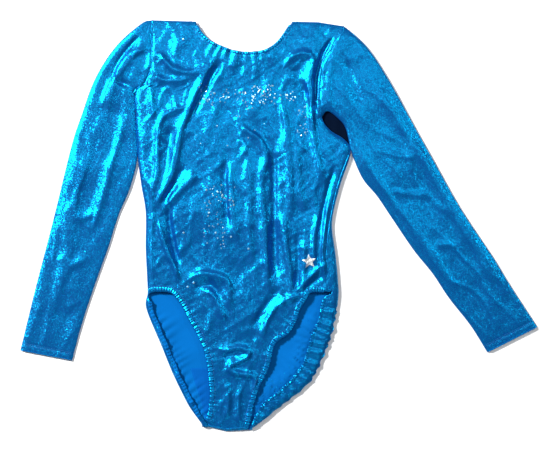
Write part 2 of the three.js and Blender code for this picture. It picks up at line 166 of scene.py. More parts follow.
# the garment's plan in millimetres; west is the wearer's right
plan = {
    "westSide": [(-190, 309), (-190, 264), (-191, 237), (-202, 211), (-215, 203), (-214, 165), (-211, 106),
                 (-206, 64), (-199, 21), (-199, -31), (-197, -75), (-196, -100), (-198, -124), (-176, -178),
                 (-158, -222), (-137, -265), (-122, -292), (-114, -305)],
    "eastSide": [(98, 300), (84, 274), (67, 246), (62, 205), (65, 163), (78, 143), (98, 130), (108, 111),
                 (93, 64), (82, 21), (80, -5), (85, -42), (89, -84), (89, -111), (80, -160), (67, -195),
                 (57, -217), (44, -237), (19, -258), (-4, -276), (-17, -288), (-40, -306)],
    "frontNeck": [(-124, 307), (-117, 291), (-101, 276), (-72, 263), (-47, 259), (-21, 262), (-3, 273),
                  (9, 288), (21, 307)],
    "backNeck": [(-130, 308), (-127, 284), (-112, 252), (-87, 224), (-50, 211), (-15, 224), (11, 252),
                 (24, 284), (27, 307)],
    "rightLegFront": [(-199, -107), (-190, -99), (-179, -97), (-166, -98), (-156, -103), (-143, -121),
                      (-131, -144), (-117, -170), (-108, -196), (-104, -222), (-102, -250), (-104, -276),
                      (-111, -300)],
    "leftLegFront": [(77, -99), (62, -98), (47, -100), (39, -112), (31, -126), (25, -144), (15, -160),
                     (-2, -172), (-10, -188), (-14, -208), (-22, -226), (-31, -244), (-37, -264),
                     (-42, -286), (-46, -306)],
    "leftLegBack": [(72, -103), (66, -112), (62, -136), (50, -164), (44, -188), (37, -206), (24, -225),
                    (8, -242), (-4, -252), (-22, -266), (-33, -284), (-41, -304)],
    "leftSideSeam": [(106, 108), (90, 64), (80, 22), (74, -18), (72, -48), (77, -76), (80, -104)],
    "shoulderTop": [(-190, 309), (-124, 307), (22, 307), (60, 306), (98, 300)],
    "crotchBottom": [(-118, -301), (-104, -302), (-78, -308), (-41, -306)],
}
lines = {name: curveThrough(points) for name, points in plan.items()}


def sideX(name, y):
    line = lines[name]
    order = np.argsort(line[:, 1])
    return np.interp(y, line[order, 1], line[order, 0])


def endY(name, x):
    return np.interp(x, *zip(*plan[name]))


ends = {"top": 309, "topFrom": 240, "bottom": -308.5, "bottomFrom": -262}


def shapeEnds(x, y):  # bends a grid's top and bottom rows to the shoulders and the crotch
    topShare = smoothStep((y - ends["topFrom"]) / (ends["top"] - ends["topFrom"]))
    y = y - (ends["top"] - endY("shoulderTop", x)) * topShare
    bottomShare = smoothStep((ends["bottomFrom"] - y) / 46)
    return y + (endY("crotchBottom", x) - ends["bottom"]) * bottomShare


underarm = {"right": 203, "left": 163}  # how high each underarm point lies
bodyEdge = np.array([p for p in lines["westSide"] if p[1] < underarm["right"]]
                    + [(-104, -302), (-78, -308), (-42, -306)]
                    + [p for p in lines["eastSide"][::-1] if p[1] < underarm["left"]])
shoulderEdges = [np.array([(-193, 309), (-122, 307)]), np.array([(20, 307), (60, 306), (100, 299)])]
armholes = {
    "right": lines["westSide"][lines["westSide"][:, 1] > underarm["right"] - 0.5],
    "left": lines["eastSide"][lines["eastSide"][:, 1] > underarm["left"] - 0.5],
}

sleeves = {
    "right": {
        "outer": [(-190, 309), (-206, 304), (-244, 270), (-275, 222), (-296, 166), (-311, 120), (-340, 3),
                  (-365, -93), (-388, -187)],
        "inner": [(-215.6, 203), (-215, 165), (-211.8, 106), (-222, 60), (-241, 14), (-256, -33),
                  (-280, -100), (-298, -156), (-310, -202)],
        "waves": {"seed": 12, "lengths": [52, 27], "turn": -0.29, "stretch": 2.0, "height": 1.5},
        "out": (-1, 0), "foldZone": (6, 24),
        "upperFlat": (0.215, 0.165), "upperArea": 0.028, "foreFlat": (0.185, 0.335),
    },
    "left": {
        "outer": [(98, 300), (118, 284), (139, 261), (169, 214), (203, 152), (232, 100), (275, 24),
                  (323, -48), (346, -86), (389, -152)],
        "inner": [(65.5, 163), (74, 172), (90, 161), (101, 146), (109.5, 111), (126, 72), (148, 45),
                  (169, 14), (203, -36), (232, -72), (256, -108), (289, -150), (314, -190)],
        "waves": {"seed": 15, "lengths": [52, 27], "turn": 0.58, "stretch": 2.0, "height": 1.5},
        "out": (1, 0), "foldZone": (12, 12),
        "upperFlat": (0.25, 0.17), "upperArea": 0.037, "foreFlat": (0.19, 0.34),
    },
}
sleeveEdges = [curveThrough(spec[edge], 4.0) for spec in sleeves.values() for edge in ("outer", "inner")]

sleeveGrid = {"rows": 250, "around": 76, "splitAt": 0.33}  # split at the elbow fold

cloth = {
    "thick": 0.55, "floor": 0.35,  # one layer, and its gap to the floor
    "seam": 3.4, "bodyCrown": 8.4, "armCrown": 7.6,  # heights at the outline, mid body and top of the arm
    "rimBody": 11.0, "rimArm": 8.0, "rimBack": 8.0, "rimArmUnder": 6.0,  # how wide each edge is rounded
    "lowest": 2.2, "highest": 13.5,
}

# each fold: its points, its height, and its reach to the left and to the right of the way it runs
bodyFolds = [
    ([(-94, 255), (-108, 231), (-121, 201), (-135, 170), (-148, 135), (-153, 106), (-161, 74), (-173, 49),
      (-188, 26)], 3.0, 5, 9),
    ([(-83, 249), (-96, 231), (-108, 209), (-121, 186), (-129, 164)], -2.6, 6, 6),
    ([(-129, 180), (-153, 174), (-175, 161), (-181, 127), (-182, 82), (-190, 45)], 2.0, 6, 6),
    ([(-160, 150), (-166, 120), (-170, 90)], -1.4, 6, 6),
    ([(-180, 262), (-164, 240), (-143, 231), (-121, 231), (-106, 240)], 2.0, 6, 8),
    ([(-188, 246), (-180, 222), (-153, 218), (-129, 222)], 1.6, 5, 7),
    ([(-193, 226), (-190, 196), (-186, 160)], 1.8, 5, 6),
    ([(6, 233), (17, 252), (32, 259), (47, 257), (52, 245), (48, 225), (50, 201), (58, 180),
      (60, 160)], 2.6, 5, 8),
    ([(22, 240), (34, 214), (42, 190)], -1.8, 8, 8),
    ([(31, 229), (46, 204), (50, 161), (56, 109), (70, 62)], 2.4, 6, 6),
    ([(4, 192), (10, 161), (14, 109), (19, 42), (17, 22)], 2.2, 7, 6),
    ([(26, 130), (30, 90), (34, 43), (43, 22)], 1.8, 6, 8),
    ([(-62, 158), (-47, 144), (-30, 132), (-20, 113), (-18, 98), (-24, 78), (-24, 42), (-21, 11),
      (-18, -40), (-15, -100)], 3.0, 4, 8),
    ([(-56, 130), (-48, 121), (-51, 106)], 1.2, 4, 5),
    ([(-40, 118), (-46, 92), (-41, 43), (-44, 0), (-37, -63)], 1.4, 5, 8),
    ([(-10, 130), (-7, 90), (-7, 30), (-6, -31), (-3, -92)], -3.4, 7, 7),
    ([(-80, 100), (-80, 60), (-78, 20), (-74, -4)], -2.4, 5, 6),
    ([(-72, 96), (-71, 50), (-68, 10), (-60, -30)], 1.8, 5, 7),
    ([(8, 15), (12, -31), (18, -74), (20, -112)], 2.4, 5, 7),
    ([(38, -20), (39, -63), (35, -98)], 1.8, 5, 6),
    ([(28, -10), (29, -60), (27, -98)], -1.3, 4, 4),
    ([(-121, 85), (-137, 64), (-156, 45), (-169, 27)], 2.2, 7, 7),
    ([(-140, 92), (-156, 62), (-176, 30)], -1.8, 6, 6),
    ([(-161, 36), (-164, 10), (-158, -25), (-148, -62)], -2.8, 5, 6),
    ([(-180, 12), (-176, -8), (-168, -34), (-154, -66), (-150, -86)], 2.4, 5, 5),
    ([(-137, -82), (-121, -72), (-100, -72), (-82, -78), (-73, -91), (-75, -126)], 2.6, 6, 9),
    ([(-128, -92), (-104, -88), (-92, -98), (-86, -118)], -1.8, 6, 6),
    ([(-110, -96), (-98, -102), (-90, -118), (-80, -142)], 2.0, 5, 6),
    ([(-94, -182), (-79, -186), (-60, -182), (-47, -186), (-45, -195), (-60, -203), (-73, -209),
      (-71, -218), (-53, -222), (-37, -225), (-35, -241), (-43, -262)], 2.6, 5, 5),
    ([(-82, -196), (-62, -193)], -1.4, 4, 4),
    ([(-25, -166), (-15, -137), (1, -117), (21, -107), (48, -101)], 2.2, 5, 6),
    ([(-37, -153), (-24, -127), (-8, -105), (2, -92)], -1.6, 6, 6),
    ([(20, -104), (40, -84), (62, -62), (74, -58)], 2.2, 5, 5),
    ([(40, -94), (66, -74)], -1.4, 4, 4),
    ([(-79, -232), (-75, -259), (-79, -291)], 1.6, 6, 6),
    ([(-58, -238), (-60, -269), (-58, -301)], 1.2, 5, 6),
    ([(61, 22), (54, -10), (52, -42), (62, -66)], 2.0, 5, 5),
    ([(76, 43), (70, 0), (66, -42), (70, -84)], 1.8, 5, 4),
    ([(-193, 74), (-189, 22), (-191, -31), (-189, -84)], 1.2, 5, 5),
    ([(82, 284), (66, 256), (57, 226), (55, 196), (57, 160)], -3.4, 4, 4),
    ([(30, 150), (33, 128), (42, 110)], 1.4, 4, 4),
    ([(86, 96), (76, 60), (66, 20), (60, -14)], -1.6, 5, 5),
]
bodyBumps = [  # each: x, y, reach, height
    (-75, 45, 75, 2.0), (-45, 262, 46, 3.0), (-60, 196, 38, -1.4), (-55, -134, 20, 2.2), (-120, 20, 30, 1.6),
    (-60, 15, 24, 1.4), (-48, 176, 30, 1.2), (22, 95, 24, 1.4), (-120, -55, 22, -1.2), (-140, 240, 24, 1.2),
    (-60, -60, 20, -1.2), (-150, -130, 14, 0.8),
]
armFolds = [
    ([(-266, 176), (-246, 222), (-214, 262)], 1.7, 7, 30),
    ([(-286, 112), (-306, 40), (-322, -34)], 1.2, 7, 24),
    ([(-247, 224), (-221, 254), (-193, 268)], 2.2, 9, 5),
    ([(-247, 220), (-217, 208), (-204, 214)], -2.2, 5, 5),
    ([(-252, 216), (-238, 250), (-208, 288)], -1.8, 5, 6),
    ([(-259, 180), (-288, 111), (-302, 43), (-316, -31), (-335, -111), (-352, -176)], 0.9, 12, 14),
    ([(-229, 170), (-245, 111), (-264, 43), (-281, -10)], 1.3, 8, 9),
    ([(-285, 190), (-304, 117), (-320, 40)], 1.0, 8, 7),
    ([(-320, 28), (-298, 12), (-276, 20)], 0.9, 6, 7),
    ([(-332, -46), (-312, -58), (-292, -50)], 0.8, 6, 7),
    ([(127, 236), (154, 200), (182, 154), (217, 104), (244, 58), (275, 8), (310, -46),
      (346, -110)], 1.9, 9, 12),
    ([(84, 268), (76, 233), (73, 201), (80, 172)], 1.6, 6, 6),
    ([(100, 250), (112, 214), (126, 180)], -1.2, 8, 8),
    ([(110, 150), (120, 117), (150, 66), (196, 6), (236, -50), (280, -110)], 1.2, 8, 10),
    ([(146, 117), (178, 106), (207, 104)], 0.8, 6, 7),
    ([(166, 53), (201, 48), (233, 46)], 0.7, 6, 7),
    ([(236, -26), (268, -31)], 0.7, 6, 7),
]
foldShape = {"gain": 2.0, "narrow": 0.8, "taper": 0.22, "power": 1.7, "margin": 30}


def foldField(folds, x, y):
    total = np.zeros(x.shape)
    for points, height, leftReach, rightReach in folds:
        line = curveThrough(points, 6.0)
        low, high = line.min(0) - foldShape["margin"], line.max(0) + foldShape["margin"]
        near = (x > low[0]) & (x < high[0]) & (y > low[1]) & (y < high[1])
        if not near.any():
            continue
        dist, signed, along = nearestOn(line, x[near], y[near])
        length = runAlong(line)[-1]
        end = foldShape["taper"] * length
        taper = smoothStep(along / end + 0.15) * smoothStep((length - along) / end + 0.15)
        reach = np.where(signed > 0, leftReach, rightReach) * foldShape["narrow"]
        total[near] += foldShape["gain"] * height * taper * np.exp(-(dist / reach) ** foldShape["power"])
    return total


def armholeNear(x, y):
    return np.minimum(nearestOn(armholes["right"], x, y)[0], nearestOn(armholes["left"], x, y)[0])


legGather = {"pitch": 7.5, "finePitch": 4.6, "wobble": 1.3, "wobbleOver": 9.0, "phase": 2, "height": 0.75,
             "reach": 9}


def legPucker(name, x, y):
    dist, _, along = nearestOn(lines[name], x, y)
    tight = smoothStep((along - 25) / 60)
    reach = legGather["reach"] + 4 * np.sin(along / 11.0)
    return legGather["height"] * tight * ripple(along, legGather) * np.exp(-(dist / reach) ** 2)


neckGather = {"pitch": 13.0, "finePitch": 21.0, "wobble": 1.3, "wobbleOver": 9.0, "phase": 1,
              "middle": 0.47, "spread": 0.22, "height": 1.5, "sideHeight": 0.35, "reach": 24}


def neckPucker(x, y):  # strongest under the middle of the neck
    dist, _, along = nearestOn(lines["frontNeck"], x, y)
    share = along / runAlong(lines["frontNeck"])[-1]
    middle = np.exp(-((share - neckGather["middle"]) / neckGather["spread"]) ** 2)
    reach = neckGather["reach"] + 10 * np.sin(along / 6.3 + 1)
    height = neckGather["height"] * middle + neckGather["sideHeight"]
    return height * ripple(along, neckGather, 0.02 * dist) * np.exp(-(dist / reach) ** 1.5)


def bodyCrown(x, y):  # lower at the arms, the shoulders and the crotch
    byArm = 1 - smoothStep(armholeNear(x, y) / 55)
    crown = cloth["bodyCrown"] - (cloth["bodyCrown"] - cloth["armCrown"]) * byArm
    return crown - 3.2 * smoothStep((y - 262) / 48) - 3.0 * smoothStep((-210 - y) / 95)


frontLook = {
    "broad": {"seed": 4, "lengths": [46, 24], "turn": 0.0, "stretch": 2.2, "height": 1.3},
    "fine": {"seed": 9, "lengths": [13, 8], "turn": 0.1, "stretch": 1.6, "height": 0.38},
    "longCreases": {"seed": 27, "lengths": [58, 58 * 0.55], "turn": 0.05, "stretch": 1.9, "height": 1.1},
    "shortCreases": {"seed": 41, "lengths": [36, 36 * 0.55], "turn": -0.5, "stretch": 1.9, "height": 0.5},
    "armholeDip": 1.0, "dipWidth": 2.4,
}


def frontRelief(x, y):
    relief = foldField(bodyFolds, x, y)
    for bumpX, bumpY, reach, height in bodyBumps:
        relief += height * np.exp(-((x - bumpX) ** 2 + (y - bumpY) ** 2) / reach**2)
    relief += waveOf(x, y, frontLook["broad"]) * (1 - 0.4 * smoothStep((-120 - y) / 60))
    relief += waveOf(x, y, frontLook["fine"])
    relief += creaseOf(x, y, frontLook["longCreases"]) + creaseOf(x, y, frontLook["shortCreases"])
    relief += neckPucker(x, y) + legPucker("rightLegFront", x, y) + legPucker("leftLegFront", x, y)
    return relief - frontLook["armholeDip"] * np.exp(-(armholeNear(x, y) / frontLook["dipWidth"]) ** 2)


def rim(distance, width):  # a quarter-round edge: 0 on it, 1 from its width inwards
    q = np.clip(distance / width, 0, 1)
    return np.sqrt(np.maximum(0, 1 - (1 - q) ** 2))


def silhouetteDistance(x, y):  # distance to the nearest outer edge of the whole garment
    edge = nearestOn(bodyEdge, x, y)[0]
    for line in shoulderEdges + sleeveEdges:
        edge = np.minimum(edge, nearestOn(line, x, y)[0])
    return edge


def softLimit(z, low, high):  # eases towards both limits instead of cutting
    middle, half = (low + high) / 2, (high - low) / 2
    q = (z - middle) / half
    over = np.maximum(np.abs(q) - 0.7, 0)
    return middle + half * np.sign(q) * np.where(over > 0, 0.7 + 0.3 * np.tanh(over / 0.3), np.abs(q))


def frontZ(x, y):  # height of the front cloth over any point of the plan
    edge = silhouetteDistance(x, y)
    rise = (bodyCrown(x, y) - cloth["seam"]) * rim(edge, cloth["rimBody"])
    z = cloth["seam"] + rise + frontRelief(x, y) * (0.2 + 0.8 * smoothStep(edge / 16))
    return softLimit(z, cloth["lowest"], cloth["highest"])


# broad waves all over, and sharp gathers along both leg edges
backLook = {"seed": 21, "lengths": [60, 30], "wave": 0.4, "pitch": 11.0, "crease": 0.15, "gather": 3.4,
            "reach": 15}


def backZ(x, y):
    edge = silhouetteDistance(x, y)
    wave = backLook["wave"] * (1 + swell(x, y, backLook["seed"], backLook["lengths"]))
    low = smoothStep((-118 - y) / 24)
    pucker = np.zeros(x.shape)
    for name in ("westSide", "leftLegBack"):
        dist, _, along = nearestOn(lines[name], x, y)
        phase = (along / backLook["pitch"] + 0.3 * np.sin(along / 14.0) + 0.012 * dist) % 1.0
        crease = np.exp(-((phase - 0.5) / backLook["crease"]) ** 2)
        reach = backLook["reach"] + 5 * np.sin(along / 8.3)
        pucker += low * backLook["gather"] * (1 - 0.95 * crease) * np.exp(-((dist - 9) / reach) ** 2)
    drop = (cloth["seam"] - cloth["floor"] - cloth["thick"]) * rim(edge, cloth["rimBack"])
    return cloth["seam"] - drop + (wave + pucker) * smoothStep(edge / 7)


def gridQuads(rows, cols, closed=False):
    r = np.arange(rows - 1)[:, None]
    c = np.arange(cols if closed else cols - 1)[None, :]
    a, b = r * cols + c, r * cols + (c + 1) % cols
    return np.stack([a, b, b + cols, a + cols], -1).reshape(-1, 4)


def faceNormals(points, quads):
    return np.cross(points[quads[:, 2]] - points[quads[:, 0]], points[quads[:, 3]] - points[quads[:, 1]])


def pointNormals(points, quads, across):
    normal = np.zeros(points.shape)
    for k in range(4):
        np.add.at(normal, quads[:, k], across)
    return normal / (np.linalg.norm(normal, axis=1)[:, None] + 1e-12)


def openEdges(quads, pointCount):  # the edges that only one face has
    edges = np.concatenate([quads[:, [k, (k + 1) % 4]] for k in range(4)])
    key = np.sort(edges, axis=1)
    _, first, count = np.unique(key[:, 0] * pointCount + key[:, 1], return_index=True, return_counts=True)
    return edges[first[count == 1]]


def linked(name, data):
    obj = bpy.data.objects.new(name, data)
    bpy.context.scene.collection.objects.link(obj)
    return obj


# a closed layer: the given face, its back, and a rim between
def clothMesh(name, points, quads, thick, materials):
    points = np.asarray(points, float)
    used = np.unique(quads)
    remap = np.full(len(points), -1)
    remap[used] = np.arange(len(used))
    points, quads = points[used], remap[quads]
    normal = pointNormals(points, quads, faceNormals(points, quads))
    inner = points - normal * thick
    inner[:, 2] = np.maximum(inner[:, 2], 0.15)  # the back stays off the floor
    border = openEdges(quads, len(points))
    n = len(points)
    rims = np.stack([border[:, 1], border[:, 0], border[:, 0] + n, border[:, 1] + n], 1)
    faces = np.concatenate([quads, quads[:, ::-1] + n, rims])
    mesh = bpy.data.meshes.new(name)
    mesh.from_pydata(inFrame(np.concatenate([points, inner])).tolist(), [], faces.tolist())
    for material in materials:
        mesh.materials.append(material)
    index = np.zeros(len(faces), np.int32)
    index[len(quads):2 * len(quads)] = min(1, len(materials) - 1)
    mesh.polygons.foreach_set("material_index", index)
    mesh.polygons.foreach_set("use_smooth", np.ones(len(faces), bool))
    mesh.update()
    return linked(name, mesh)


def hexColour(text):
    parts = [int(text[i:i + 2], 16) / 255 for i in (1, 3, 5)]
    return tuple(c / 12.92 if c <= 0.04045 else ((c + 0.055) / 1.055) ** 2.4 for c in parts) + (1.0,)


def addNode(tree, kind, settings=(), **links):  # i0, i1 and so on link a socket by its number
    node = tree.nodes.new(kind)
    for name, value in dict(settings).items():
        if isinstance(name, int) or name in node.inputs:
            node.inputs[name].default_value = value
        else:
            setattr(node, name, value)
    for name, source in links.items():
        numbered = name[0] == "i" and name[1:].isdigit()
        tree.links.new(source, node.inputs[int(name[1:]) if numbered else name.replace("_", " ")])
    return node


def newMaterial(name):
    material = bpy.data.materials.new(name)
    material.use_nodes = True
    tree = material.node_tree
    tree.nodes.clear()
    return material, tree


foilKnit = {
    "knit": "#003c86", "foil": "#00a8e2",
    "dot": 1.15, "crackle": 7.0,  # spacing of the dots and of the wider unevenness, millimetres
    "dotTilt": 0.27, "waveTilt": 0.16, "rough": 0.34, "cover": 0.78,
    "core": 0.36, "edge": 0.5, "onDot": 0.92, "offDot": 0.35,  # foil from a dot's core out to its edge
}


# stretch knit printed all over with tiny foil dots: deep azure, flashing cyan where a fold faces the light
def foilDotKnit(name, look):
    material, tree = newMaterial(name)
    coords = addNode(tree, "ShaderNodeTexCoord").outputs["Object"]
    cells = addNode(tree, "ShaderNodeTexVoronoi", {"Scale": 1 / (look["dot"] * mm), "Randomness": 0.9},
                    Vector=coords)
    patchSize = {"Scale": 1 / (look["crackle"] * mm), "Detail": 2.0, "Roughness": 0.6}
    patches = addNode(tree, "ShaderNodeTexNoise", patchSize, Vector=coords)
    spread = {"From Min": look["core"], "From Max": look["edge"], "To Min": look["onDot"],
              "To Max": look["offDot"]}
    dot = addNode(tree, "ShaderNodeMapRange", spread, Value=cells.outputs["Distance"])
    lean = addNode(tree, "ShaderNodeNewGeometry").outputs["Normal"]
    for source, tilt in ((cells, look["dotTilt"]), (patches, look["waveTilt"])):  # each dot leans its own way
        centred = {"operation": "SUBTRACT", 1: (0.5, 0.5, 0.5)}
        shift = addNode(tree, "ShaderNodeVectorMath", centred, i0=source.outputs["Color"])
        share = addNode(tree, "ShaderNodeVectorMath", {"operation": "SCALE", "Scale": tilt},
                        i0=shift.outputs[0])
        lean = addNode(tree, "ShaderNodeVectorMath", {"operation": "ADD"}, i0=lean,
                       i1=share.outputs[0]).outputs[0]
    normal = addNode(tree, "ShaderNodeVectorMath", {"operation": "NORMALIZE"}, i0=lean)
    cloth = {"Base Color": hexColour(look["knit"]), "Roughness": 0.6, "Specular IOR Level": 0.08}
    under = addNode(tree, "ShaderNodeBsdfPrincipled", cloth)
    metal = {"Base Color": hexColour(look["foil"]), "Metallic": 1.0, "Roughness": look["rough"]}
    shine = addNode(tree, "ShaderNodeBsdfPrincipled", metal, Normal=normal.outputs[0])
    cover = addNode(tree, "ShaderNodeMath", {"operation": "MULTIPLY", 1: look["cover"]},
                    i0=dot.outputs["Result"])
    mixed = addNode(tree, "ShaderNodeMixShader", {}, i0=cover.outputs[0], i1=under.outputs[0],
                    i2=shine.outputs[0])
    addNode(tree, "ShaderNodeOutputMaterial", Surface=mixed.outputs[0])
    return material


matteLook = {"rib": 1.6, "ribDepth": 0.2, "cloud": 18.0, "darker": 0.86, "lighter": 1.12, "rough": 0.85}


# the wrong side of the knit: flat, even blue with a fine rib
def matteKnit(name, colour):
    material, tree = newMaterial(name)
    coords = addNode(tree, "ShaderNodeTexCoord").outputs["Object"]
    ribSize = {"Scale": 1 / (matteLook["rib"] * mm) / 6.28, "Distortion": 1.5, "Detail": 1.0}
    rib = addNode(tree, "ShaderNodeTexWave", ribSize, Vector=coords)
    cloud = addNode(tree, "ShaderNodeTexNoise", {"Scale": matteLook["cloud"], "Detail": 3.0}, Vector=coords)
    base = hexColour(colour)
    dark = tuple(c * matteLook["darker"] for c in base[:3]) + (1,)
    light = tuple(min(1, c * matteLook["lighter"]) for c in base[:3]) + (1,)
    tone = addNode(tree, "ShaderNodeMix", {"data_type": "RGBA", 6: dark, 7: light},
                   Factor=cloud.outputs["Fac"])
    ribBump = {"Strength": 0.25, "Distance": matteLook["ribDepth"] * mm}
    bump = addNode(tree, "ShaderNodeBump", ribBump, Height=rib.outputs["Fac"])
    shader = addNode(tree, "ShaderNodeBsdfPrincipled", {"Roughness": matteLook["rough"],
                                                        "Specular IOR Level": 0.05},
                     Base_Color=tone.outputs[2], Normal=bump.outputs[0])
    addNode(tree, "ShaderNodeOutputMaterial", Surface=shader.outputs[0])
    return material


foil = foilDotKnit("foilDotStretchKnit", foilKnit)
inside = matteKnit("matteKnitInside", "#0062ae")
print("materials made")


def frontEast(y):  # the front ends at the side seam between the underarm and the leg
    edge = sideX("eastSide", y)
    seam = np.where(y < 108, sideX("leftSideSeam", y), 1e3)
    return np.where(y > -103, np.minimum(edge, seam), edge)


def snapTo(name, x, y, reach):
    line = lines[name]
    dist, _, along = nearestOn(line, x, y)
    spot = pointsAt(line, runAlong(line), along)
    near = dist < reach
    return np.where(near, spot[..., 0], x), np.where(near, spot[..., 1], y)


def trimmedQuads(x, y, holes):
    quads = gridQuads(*x.shape)
    cx, cy = x.reshape(-1)[quads].mean(1), y.reshape(-1)[quads].mean(1)
    keep = np.ones(len(quads), bool)
    for hole in holes:
        keep &= ~insideOf(hole, cx, cy)
    return quads[keep]


def borderSnap(x, y, quads, names, reach=3.5):  # draws the stepped border of a hole onto its true line
    border = np.unique(openEdges(quads, x.size))
    fx, fy = x.reshape(-1).copy(), y.reshape(-1).copy()
    for name in names:
        fx[border], fy[border] = snapTo(name, fx[border], fy[border], reach)
    return fx.reshape(x.shape), fy.reshape(y.shape)


frontSize = {"rows": 262, "cols": 176, "spreadEnds": 0.85}
holes = {
    "rightLeg": np.vstack([lines["rightLegFront"], [(-111, -330), (-260, -330), (-260, -104)]]),
    "leftLeg": np.vstack([lines["leftLegFront"], [(-46, -330), (160, -330), (160, -99)]]),
    "frontNeck": np.vstack([lines["frontNeck"], [(21, 340), (-124, 340)]]),
    "backNeck": np.vstack([lines["backNeck"], [(27, 340), (-130, 340)]]),
}


def rowHeights(rows):
    return (ends["top"] - ends["bottom"]) / 2 * np.linspace(-1, 1, rows) + (ends["top"] + ends["bottom"]) / 2


def makeFront():
    rowY = rowHeights(frontSize["rows"])
    q = np.linspace(-1, 1, frontSize["cols"])
    q = q * (1 - frontSize["spreadEnds"]) + frontSize["spreadEnds"] * np.sin(q * math.pi / 2)
    west, east = sideX("westSide", rowY)[:, None], frontEast(rowY)[:, None]
    x = (west + east) / 2 + (east - west) / 2 * q[None, :]
    y = shapeEnds(x, np.repeat(rowY[:, None], len(q), 1))
    quads = trimmedQuads(x, y, [holes["rightLeg"], holes["leftLeg"], holes["frontNeck"]])
    x, y = borderSnap(x, y, quads, ["rightLegFront", "leftLegFront", "frontNeck"])
    points = np.stack([x, y, frontZ(x, y)], -1).reshape(-1, 3)
    return clothMesh("frontCloth", points, quads, cloth["thick"], [foil, inside])


frontCloth = makeFront()
print("front cloth", len(frontCloth.data.polygons))

# the back is the bottom layer, rolled up round both sides
backSize = {"rows": 210, "under": 96, "wrap": 14, "spreadEnds": 0.8}
backWrap = {
    "pitch": 12.5, "finePitch": 6.1, "wobble": 1.4, "wobbleOver": 10.0, "phase": 1, "ruffle": 1.7,
    "fineRuffle": 0.5,
    "crown": 8.2, "westStrip": 1.2, "westStripLow": 6.5, "scallop": 1.5,
}


def backSection(y):  # the four lines that a row runs between: side edges, and where the rolled-up strips end
    west, east = sideX("westSide", y), sideX("eastSide", y)
    scallop = backWrap["scallop"] * np.sin(y / 2.1 + 1.2 * np.sin(y / 7.0))
    east = east + scallop * smoothStep((-112 - y) / 20) * smoothStep((y + 290) / 20)
    westTop = west + backWrap["westStrip"] + backWrap["westStripLow"] * smoothStep((-104 - y) / 12)
    legEdge = sideX("leftLegBack", np.clip(y, -304, -104))
    sideSeam = np.where(y < 108, sideX("leftSideSeam", y), 1e3)
    eastTop = np.where(y > -103, np.minimum(east - 1.0, sideSeam), np.minimum(legEdge, east - 3))
    return west[:, None], east[:, None], westTop[:, None], eastTop[:, None]


def wrapZ(x, y):  # height of the strips of the back that are rolled up to the front
    edge = nearestOn(bodyEdge, x, y)[0]
    low = smoothStep((-108 - y) / 20)
    crown = bodyCrown(x, y) * (1 - low) + backWrap["crown"] * low
    along = nearestOn(lines["leftLegBack"], x, y)[2]
    bend = backWrap["wobble"] * np.sin(along / backWrap["wobbleOver"])
    ruffle = backWrap["ruffle"] * np.sin(along * 2 * math.pi / backWrap["pitch"] + bend)
    ruffle += backWrap["fineRuffle"] * np.sin(along * 2 * math.pi / backWrap["finePitch"] + backWrap["phase"])
    relief = frontRelief(x, y) * (1 - low) * 0.5 + low * ruffle
    rise = (crown - cloth["seam"]) * rim(edge, cloth["rimBody"])
    return np.clip(cloth["seam"] + rise + relief * smoothStep(edge / 7), 2.5, 13)


def makeBack():
    rows, under, wrap = backSize["rows"], backSize["under"], backSize["wrap"]
    rowY = rowHeights(rows)
    west, east, westTop, eastTop = backSection(rowY)
    t = np.linspace(0, 1, wrap)[None, :]
    q = np.linspace(-1, 1, under + 2)[1:-1]
    q = q * (1 - backSize["spreadEnds"]) + backSize["spreadEnds"] * np.sin(q * math.pi / 2)
    x = np.concatenate([
        westTop + (west - westTop) * np.sin(t * math.pi / 2),
        (west + east) / 2 + (east - west) / 2 * q[None, :],
        east + (eastTop - east) * (1 - np.cos(t * math.pi / 2)),
    ], 1)
    y = shapeEnds(x, np.repeat(rowY[:, None], x.shape[1], 1))
    rolledUp = np.concatenate([np.ones(wrap), np.zeros(under), np.ones(wrap)])[None, :] > 0.5
    z = np.where(rolledUp, wrapZ(x, y), backZ(x, y))
    quads = trimmedQuads(x, y, [holes["backNeck"]])
    x, y = borderSnap(x, y, quads, ["backNeck"])
    points = np.stack([x, y, z], -1).reshape(-1, 3)
    return clothMesh("backCloth", points, quads, cloth["thick"], [inside, foil])


backCloth = makeBack()
print("back cloth", len(backCloth.data.polygons))


def evenly(line, count):
    run = runAlong(line)
    return pointsAt(line, run, np.linspace(0, run[-1], count))


armLook = {
    "share": [0, 0.25, 0.5, 1], "crown": [cloth["armCrown"], 5.4, 4.0, 3.7],  # from the shoulder to the cuff
    "seamShare": [0, 0.3, 1], "seam": [cloth["seam"], 2.9, 2.3],
    "limitFrom": [0, 60, 170, 230], "limit": [13.5, 9.8, 8.2, 6.6], "lowest": 1.2,
    "joinOver": 26, "length": 500, "cuffLine": 11, "cuffDip": 0.5,
    "underSeed": 33, "underLengths": [40, 20], "underWave": 0.25,
    "fine": {"seed": 19, "lengths": [14, 9], "stretch": 1.6, "height": 0.2},
    "creases": {"seed": 52, "lengths": [70, 40], "stretch": 2.2, "height": 0.9},
}


